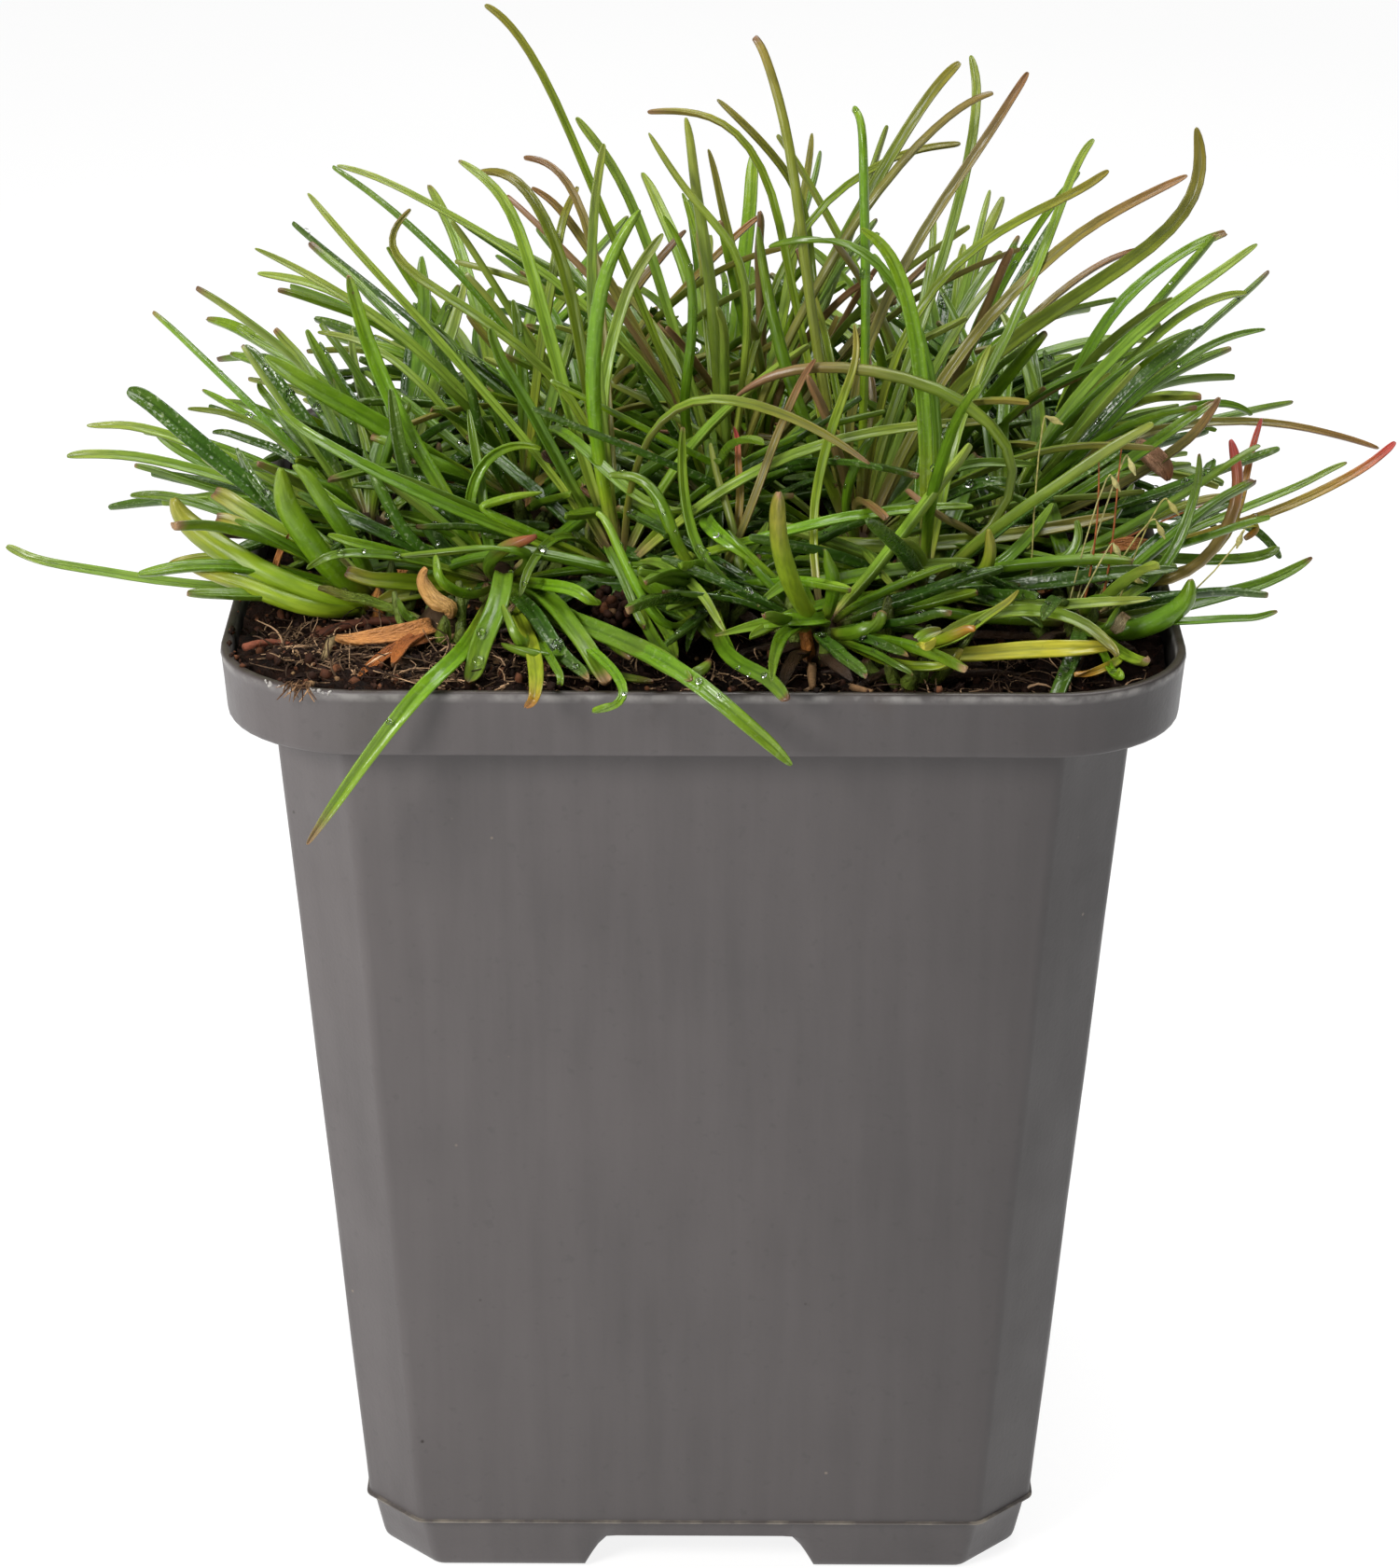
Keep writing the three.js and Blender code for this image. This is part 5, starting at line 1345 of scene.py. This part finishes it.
def measured_leaf(tuft, row, draw, attempt):
    """A leaf measured on the plant. Later attempts stray a little, to bend it clear of its neighbours."""

    def stray():
        return (next(draw) - 0.5) * attempt * 0.8

    passed = [Vector([value + stray() for value in place]) for place in row[2:]]
    dx = passed[0].x - tuft["at"][0]
    dy = passed[0].y - tuft["at"][1]
    azimuth = math.degrees(math.atan2(dy, dx))
    rise = math.degrees(math.atan2(passed[0].z - crown_base(tuft) - 3, math.hypot(dx, dy)))
    root = leaf_root(tuft, azimuth, rise)
    tip = passed[-1]
    if len(passed) == 2:
        bend = passed[0] * 2 - root * 0.5 - tip * 0.5
        arms = [root / 3 + bend * (2 / 3), tip / 3 + bend * (2 / 3)]
    else:
        low, high = passed[:2]
        arms = [
            root * (-5 / 6) + low * 3 - high * 1.5 + tip / 3,
            root / 3 - low * 1.5 + high * 3 - tip * (5 / 6),
        ]
    points = [root, *arms, tip]
    return as_leaf(points, azimuth, row[1], roll_to_front(points, azimuth), stray() * 10)


def drawn_leaf(tuft, number, draw, _attempt=0, shorter=1.0):
    """A leaf drawn by the tuft's rule: the outer leaves of a tuft lie low and the inner ones stand up."""

    def between(limits, share):
        return limits[0] + (limits[1] - limits[0]) * share

    share = (number % tuft["count"] + 0.5) / tuft["count"]
    spread = 2 * ((number * 0.618 + 0.25 * next(draw)) % 1) - 1
    azimuth = tuft["faces"] + tuft["fan"] * spread
    lift = between(tuft["rise"], share) + 30 * (next(draw) - 0.5)
    length = between(tuft["length"], next(draw)) * shorter
    droop = tuft["droop"] * next(draw)
    sway = 70 * (next(draw) - 0.5)
    width = between(tuft["width"], next(draw))
    points = bent_path(leaf_root(tuft, azimuth, lift), azimuth, sway, lift, droop, length)
    return as_leaf(points, azimuth, width, 0, 60 * (next(draw) - 0.5))


def tips_of_solid(name):
    """The corners of a tuft's solid, to tell which attempt at a leaf it holds."""
    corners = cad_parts[name].data.vertices
    tree = kdtree.KDTree(len(corners))
    for corner in corners:
        tree.insert(corner.co / MM, corner.index)
    tree.balance()
    return tree


def is_free(leaf):
    """True where a leaf that no solid holds stays in the air above the pot and inside the plant's reach."""
    for share in (0.35, 0.5, 0.65, 0.8, 1.0):
        x, y, z = curve_point(leaf["points"], share)
        if abs(x) > REACH_X or abs(y) > REACH_Y or not 0 < z < REACH_Z:
            return False
        if max(abs(x), abs(y)) > RIM_INSIDE and z < POT_HEIGHT + RIM_CLEARANCE:
            return False
        if z < soil_top(x, y) + SOIL_CLEARANCE:
            return False
    return True


def hides_nothing(leaf):
    """True where a leaf that no solid holds keeps out of the places that stay open."""
    for step in range(3, 11):
        point = curve_point(leaf["points"], step / 10)
        if any((point - Vector(place)).length < radius for place, radius in OPEN_PLACES):
            return False
    return True


def matching_leaf(seed, make, solid, wanted=False):
    """The attempt that the tuft's solid holds, or else the first one, if it is wanted or has room."""
    draw = number_stream(seed)
    attempts = []
    for attempt in range(TRIES):
        attempts.append(make(draw, attempt))
        if solid.find(attempts[-1]["points"][3])[2] < TIP_MATCH:
            return attempts[-1]
    return attempts[0] if wanted or is_free(attempts[0]) else None


def dress_leaf(leaf, kind, seed):
    """Gives a leaf its shades, its wetness and its small differences from its neighbours."""
    draw = number_stream(seed + 31)
    was_cut = kind.startswith("cut_")
    kind = kind.removeprefix("cut_")
    light = 0.9 + 0.3 * next(draw)
    warm = 0.94 + 0.14 * next(draw)
    cool = 0.6 + 0.26 * next(draw)
    leaf["tones"] = []
    for seen in LEAF_TONES[kind]:
        red, green, blue = linear(seen)
        leaf["tones"].append([red * light * warm, green * light, blue * light * cool])
    leaf["kind"] = kind
    leaf["own"] = 60 * next(draw)
    leaf["channel"] = 0.3 + 0.35 * next(draw)
    leaf["foot"] = 0.95 if kind in DRY_KINDS else 0.74
    leaf["slimming"] = 0.12 + 0.38 * next(draw)
    leaf["blush"] = BLUSHING.get(kind, 0) * (0.4 + 0.6 * next(draw))
    leaf["wet"] = WETNESS.get(kind, LEAST_WET) * (0.6 + 0.4 * next(draw))
    is_burnt = next(draw) < BURNT_SHARE
    leaf["burnt"] = 0.01 + 0.02 * next(draw) if is_burnt else 0
    leaf["burn"] = shade_of("burnt tip", next(draw))
    leaf["blunt"] = 0.0
    if was_cut or next(draw) < CUT_SHARE:
        leaf["blunt"] = CUT_WIDTH
        leaf["burnt"] = 0.03
    return leaf


def leaves_of(order, tuft):
    """Every leaf of one tuft: measured ones, drawn ones, and short inner and low ones between them."""
    solid = tips_of_solid(tuft["name"])
    tones = TUFT_TONES[tuft["colour"]]
    count = tuft["count"]
    hidden = tuft["name"] not in MEASURED
    seeds = TUFT_SEEDS * order
    leaves = []

    def add_if_free(leaf, kind, seed):
        if is_free(leaf) and hides_nothing(leaf):
            leaves.append(dress_leaf(leaf, kind, seed))

    for i, row in enumerate(MEASURED.get(tuft["name"], ())):
        seed = seeds + MEASURED_FROM + i
        leaf = matching_leaf(seed, partial(measured_leaf, tuft, row), solid, True)
        leaves.append(dress_leaf(leaf, row[0], seed))
    for i in range(count):
        seed = seeds + DRAWN_FROM + i
        leaf = matching_leaf(seed, partial(drawn_leaf, tuft, i), solid)
        if leaf:
            leaves.append(dress_leaf(leaf, tones[i * len(tones) // count], seed))
    for i in range(round(count * INNER_SHARE[hidden])):
        seed = seeds + INNER_FROM + i
        draw = number_stream(seed)
        leaf = drawn_leaf(tuft, i, draw, shorter=0.5 + 0.35 * next(draw))
        add_if_free(leaf, tones[int(next(draw) * len(tones))], seed)
    if tuft["colour"] in ("green", "olive"):
        for i in range(LOW_LEAVES[hidden]):
            seed = seeds + LOW_FROM + i
            leaf = drawn_leaf(tuft | LOW_RULE, i, number_stream(seed))
            add_if_free(leaf, LOW_TONES[i % len(LOW_TONES)], seed)
    return leaves


def build_tuft(order, tuft, template, finish):
    """One tuft's leaves in place of its solid. Returns the leaves, which carry the drops."""
    bm = start_leaves()
    leaves = leaves_of(order, tuft)
    for leaf in leaves:
        add_leaf(bm, template, leaf)
    name = tuft["name"]
    round_off(make_piece(bm, name + "_leaves", finish, (name,)))
    return leaves


def sheath(tuft, low, number, draw):
    """A leaf base on its crown: a low one droops outwards and a high one stands close to the core."""
    azimuth = 360 * (number * 0.618 % 1) + 20 * next(draw)
    lift = -4 + 26 * next(draw) if low else 30 + 48 * next(draw)
    length = 4 + 8 * next(draw) ** 2 if low else 4 + 4.5 * next(draw) ** 2
    start = Vector((*tuft["at"], crown_base(tuft) + (1.2 + 1.2 * next(draw) if low else 0.2)))
    start += heading(azimuth, 0) * (CROWN_RADIUS * 0.5)
    sway = 70 * (next(draw) - 0.5)
    points = bent_path(start, azimuth, sway, lift, 34 if low else -22, length, 0.6)
    for point in points[1:]:
        point.z = max(point.z, soil_top(point.x, point.y) + 0.5)
    if max(max(abs(point.x), abs(point.y)) for point in points) > 42:
        return None
    width = 1.0 + 0.6 * next(draw) if low else 1.4 + 0.7 * next(draw)
    return as_leaf(points, azimuth, width, 0, 120 * (next(draw) - 0.5))


def build_sheaths(template, finish):
    """Brown leaf bases and dead leaves that wrap each crown, over its woody core."""
    bm = start_leaves()
    for order, tuft in enumerate(TUFTS):
        draw = number_stream(SHEATH_SEED + order)
        for number in range(SHEATHS):
            low = number < SHEATHS * LOW_SHEATH_SHARE
            leaf = sheath(tuft, low, number, draw)
            if leaf:
                kind = "rust" if next(draw) < 0.06 else "husk" if low else "sheath"
                add_leaf(bm, template, dress_leaf(leaf, kind, SHEATH_DRESS_SEED + 40 * order + number))
    make_piece(bm, "crown_sheaths", finish)


def build_crown_cores(finish):
    """The woody cores that the leaves spring from, one turned shape for each crown."""
    bm = start_mesh("litter_shade")
    layer = bm.verts.layers.float_color["litter_shade"]
    for tuft in TUFTS:
        x, y = tuft["at"]
        base = crown_base(tuft)
        first = len(bm.verts)
        profile = [bm.verts.new((radius, 0, z)) for radius, z in CORE_PROFILE]
        edges = [bm.edges.new(pair) for pair in zip(profile, profile[1:])]
        bmesh.ops.spin(
            bm,
            geom=profile + edges,
            cent=(0, 0, 0),
            axis=(0, 0, 1),
            angle=math.radians(360),
            steps=12,
            use_merge=True,
        )
        bm.verts.ensure_lookup_table()
        for vert in bm.verts[first:]:
            bump = noise.noise(Vector((vert.co.x + x, vert.co.y + y, vert.co.z)) * 0.9)
            share = 1 + 0.16 * bump
            vert.co = (vert.co.x * share + x, vert.co.y * share + y, vert.co.z + base)
            vert[layer] = (*linear(CORE_SHADE), 1)
    bmesh.ops.remove_doubles(bm, verts=bm.verts, dist=0.001)
    bmesh.ops.recalc_face_normals(bm, faces=bm.faces)
    make_piece(bm, "crown_cores", finish)


def build_drops(leaves, finish):
    """Water drops on the wet leaves, each flattened on the blade that holds it."""
    drop = bmesh.new()
    bmesh.ops.create_icosphere(drop, subdivisions=2, radius=1)
    template = mesh_from(drop, "drop")
    bm = bmesh.new()
    draw = number_stream(DROP_SEED)
    for leaf in leaves:
        if leaf["kind"] not in DROPS or next(draw) > DROPS[leaf["kind"]]:
            continue
        for _ in range(1 + int(3 * next(draw))):
            t = 0.25 + 0.7 * next(draw)
            side, above = cross_frame(leaf, t)
            if above.z < 0:
                above = -above
            half = leaf["width"] / 2 * width_at(leaf, t)
            radius = min(half * 0.8, 0.22 + 0.55 * next(draw) ** 2)
            place = curve_point(leaf["points"], t) + above * (0.24 * leaf_keel(leaf))
            place += side * ((half - radius) * (2 * next(draw) - 1) * 0.8)
            turn = above.to_track_quat("Z", "Y").to_matrix()
            for vert in add_copy(bm, template):
                x, y, z = vert.co * radius
                vert.co = place + turn @ Vector((x, y, z * 0.62))
    bpy.data.meshes.remove(template)
    make_piece(bm, "water_drops", finish)


# Building the litter, the scraps and the moss


def add_strand(bm, template, points, thickness, tone, taper=0.6, swell=None):
    """A fibre, stalk or sliver: a thin tube along a curve. `swell` is where it thickens, and how much."""
    corners = add_copy(bm, template)
    layer = bm.verts.layers.float_color["litter_shade"]
    for vert in corners:
        across, up, t = vert.co
        along = curve_heading(points, t)
        side = along.orthogonal().normalized()
        above = along.cross(side)
        share = 1 - taper * t
        if swell:
            middle, spread, gain = swell
            share = share + gain * math.exp(-(((t - middle) / spread) ** 2))
        radius = thickness / 2 * share
        vert.co = curve_point(points, t) + side * (across * radius) + above * (up * radius)
        vert[layer] = (*tone, 1)


def keep_low(point):
    """Moves a fibre's point inside the pot and close to the soil."""
    inner = max(abs(point.x), abs(point.y))
    if inner > FIBRE_EDGE:
        point.x *= FIBRE_EDGE / inner
        point.y *= FIBRE_EDGE / inner
    level = fine_soil_top(point.x, point.y)
    point.z = min(max(point.z, level + 0.1), level + FIBRE_RISE)


def build_fibres(template, finish):
    """Curly peat fibres, most of them at the front, and a tuft of them that hangs over the rim."""
    bm = start_mesh("litter_shade")
    draw = number_stream(FIBRE_SEED)
    for number in range(FIBRES):
        x, y = anywhere(draw, FIBRE_REACH)
        if number % 2 == 0:
            y = -FIBRE_REACH + FIBRE_STRIP * next(draw)
        if number % 3 == 0:
            x, y = at_left_front(draw, *FIBRE_CORNER)
        x, y = rounded_square(x, y, FIBRE_REACH)
        azimuth = 360 * next(draw)
        length = size_of(draw, *FIBRE_LENGTH)
        standing = next(draw) < 0.3
        lift = 20 + 50 * next(draw) if standing else 4 + 22 * next(draw)
        sway = 460 * (next(draw) - 0.5)
        droop = 120 * next(draw) if standing else 40
        start = Vector(on_fine_soil(x, y, -0.1))
        points = bent_path(start, azimuth, sway, lift, droop, length, settle=keep_low)
        tone = shade_of("fibre", next(draw) ** 3.4)
        add_strand(bm, template, points, size_of(draw, *FIBRE_THICKNESS), tone)
    for _ in range(RIM_FIBRES):
        start = Vector(RIM_TUFT) + Vector((2.2 * (next(draw) - 0.5), 0.8 * next(draw), 0.4 * next(draw)))
        fall = Vector((2.6 * (next(draw) - 0.5), -0.4 * next(draw), -1.6 * next(draw) ** 1.5))
        out = start + Vector((0.6 * (next(draw) - 0.5), -1.1, 0.6 * next(draw)))
        points = [start, out, out + fall * 0.5, out + fall]
        tone = shade_of("rim fibre", next(draw) ** 2)
        add_strand(bm, template, points, size_of(draw, *RIM_FIBRE_THICKNESS), tone)
    make_piece(bm, "peat_fibres", finish)


def build_wood(template, finish):
    """Splinters of wood in the peat, and the bits of wood at the left front."""
    bm = start_mesh("litter_shade")
    draw = number_stream(SLIVER_SEED)
    for _ in range(SLIVERS):
        x, y = rounded_square(*anywhere(draw, SLIVER_REACH), SLIVER_REACH)
        azimuth = 360 * next(draw)
        length = size_of(draw, *SLIVER_LENGTH)
        points = bent_path(Vector(on_fine_soil(x, y, 0.25)), azimuth, 0, 10 * next(draw), 0, length)
        tone = shade_of("sliver", next(draw))
        add_strand(bm, template, points, size_of(draw, *SLIVER_THICKNESS), tone, 0.45)
    for thickness, seen, *places in WOOD_PIECES:
        add_strand(bm, template, vectors(places), thickness, linear(seen), 0.4)
    make_piece(bm, "wood_bits", finish)


def build_scraps(template, finish):
    """Papery scraps of dead leaf that lie among the leaves and on the soil."""
    bm = start_leaves()
    for number, (places, width, kind) in enumerate(SCRAPS):
        points = vectors(places)
        run = points[3] - points[0]
        azimuth = math.degrees(math.atan2(run.y, run.x))
        scrap = dress_leaf(as_leaf(points, azimuth, width, 46, 40), kind, SCRAP_SEED + number)
        scrap.update(foot=0.8, slimming=0.5)
        add_leaf(bm, template, scrap)
    round_off(make_piece(bm, "papery_scraps", finish))


def build_moss_stalks(template, finish):
    """Hair-thin moss stalks at the right front, each with its capsule, and dead orange leaf threads."""
    bm = start_mesh("litter_shade")
    draw = number_stream(MOSS_SEED)
    for foot, top in MOSS_STALKS:
        low = Vector((*foot, soil_top(*foot)))
        high = Vector(top)
        lean = Vector((5 * (next(draw) - 0.5), 3 * (next(draw) - 0.5), 0))
        over = high + lean * 0.4 + Vector((0, 0, 2.5 * next(draw)))
        points = [low, low * 0.4 + high * 0.6 + lean, over, high]
        tone = shade_of("moss", next(draw))
        add_strand(bm, template, points, STALK_THICKNESS, tone, 0.1)
        on = (curve_heading(points, 1) + Vector((0.3, 0, 0))).normalized() * CAPSULE_PART
        capsule = [high + on * part for part in range(4)]
        add_strand(bm, template, capsule, STALK_THICKNESS, tone, 0.1, CAPSULE_SWELL)
    for places in ORANGE_THREADS:
        add_strand(bm, template, vectors(places), THREAD_THICKNESS, linear(THREAD_SHADE), 0.5)
    make_piece(bm, "moss_stalks", finish)


# Stage, light and camera


def build_stage():
    """A wide white floor that glows a little, so that it stays pale under its one soft shadow."""
    bm = bmesh.new()
    bmesh.ops.create_grid(bm, x_segments=2, y_segments=2, size=FLOOR_HALF)
    for vert in bm.verts:
        vert.co.z = FLOOR_LEVEL
    mesh = mesh_from(bm, "studio_floor")
    look = Finish("white_floor")
    soft = look.patches(look.place(), 3, 2, 0.3, 0.7)
    mesh.materials.append(look.finish({
        "Base Color": look.mix(soft, (0.24, 0.24, 0.24), (0.27, 0.27, 0.27)),
        "Roughness": 0.9,
        "Emission Color": (1, 1, 1),
        "Emission Strength": FLOOR_GLOW,
    }))
    stand("studio_floor", mesh)


def add_light(name, place, size, power, colour):
    """A round lamp that points at the middle of the pot's top."""
    lamp = bpy.data.lights.new(name, "AREA")
    lamp.shape = "DISK"
    lamp.size = size
    lamp.energy = power
    lamp.color = colour
    lantern = stand(name, lamp)
    lantern.location = place
    aim = Vector(LIGHT_TARGET) - Vector(place)
    lantern.rotation_euler = aim.to_track_quat("-Z", "Y").to_euler()


def light_studio():
    """A white sky that is brighter at the left, and the two lamps."""
    world = bpy.data.worlds.new("white_studio")
    world.use_nodes = True
    tree = world.node_tree
    where = tree.nodes.new("ShaderNodeTexCoord")
    sides = tree.nodes.new("ShaderNodeSeparateXYZ")
    fade = tree.nodes.new("ShaderNodeMapRange")
    fade.inputs["From Min"].default_value = -1
    fade.inputs["To Min"].default_value = SKY_LEFT
    fade.inputs["To Max"].default_value = SKY_RIGHT
    tree.links.new(where.outputs["Generated"], sides.inputs["Vector"])
    tree.links.new(sides.outputs["X"], fade.inputs["Value"])
    tree.links.new(fade.outputs["Result"], tree.nodes["Background"].inputs["Strength"])
    tree.nodes["Background"].inputs["Color"].default_value = (1, 1, 1, 1)
    for light in LIGHTS:
        add_light(*light)
    scene = bpy.context.scene
    scene.world = world
    scene.view_settings.view_transform = "Standard"
    scene.view_settings.look = "None"
    scene.view_settings.exposure = 0
    scene.view_settings.gamma = 1


def set_camera():
    """The camera that took the photograph."""
    lens = bpy.data.cameras.new("photo_camera")
    lens.sensor_fit = "AUTO"
    lens.sensor_width = SENSOR
    lens.lens = FOCAL_PIXELS / PHOTO_HEIGHT * SENSOR
    lens.clip_start = NEAREST_SEEN
    camera = stand("photo_camera", lens)
    tilt = Matrix.Rotation(math.radians(90 - CAMERA_PITCH), 4, "X")
    roll = Matrix.Rotation(CAMERA_ROLL, 4, "Z")
    camera.matrix_world = Matrix.Translation(Vector(CAMERA_PLACE) * MM) @ tilt @ roll
    bpy.context.scene.camera = camera


def build_bed():
    """The soil, and everything that lies on it or grows out of it apart from the leaves."""
    strand = blade_template("strand", 5, STRAND_RINGS, start_mesh("litter_shade"))
    bits = litter()
    build_soil(peat())
    build_crumbs(bits)
    build_fibres(strand, bits)
    build_wood(strand, bits)
    build_crown_cores(bits)
    build_moss_stalks(strand, bits)
    bpy.data.meshes.remove(strand)


def build_plant():
    """All the leaves, with their sheaths, scraps and drops."""
    blade = blade_template("leaf_blade", 8, LEAF_RINGS, start_leaves())
    scale = blade_template("sheath_blade", 6, SHEATH_RINGS, start_leaves())
    fresh = leaf_skin()
    dry = dry_skin()
    leaves = []
    for order, tuft in enumerate(TUFTS):
        finish = dry if tuft["colour"] == "brown" else fresh
        leaves += build_tuft(order, tuft, blade, finish)
    build_sheaths(scale, dry)
    build_scraps(blade, dry)
    build_drops(leaves, water())
    for mesh in (blade, scale):
        bpy.data.meshes.remove(mesh)


set_camera()
light_studio()
build_stage()
build_pot(pot_plastic())
build_bed()
build_plant()
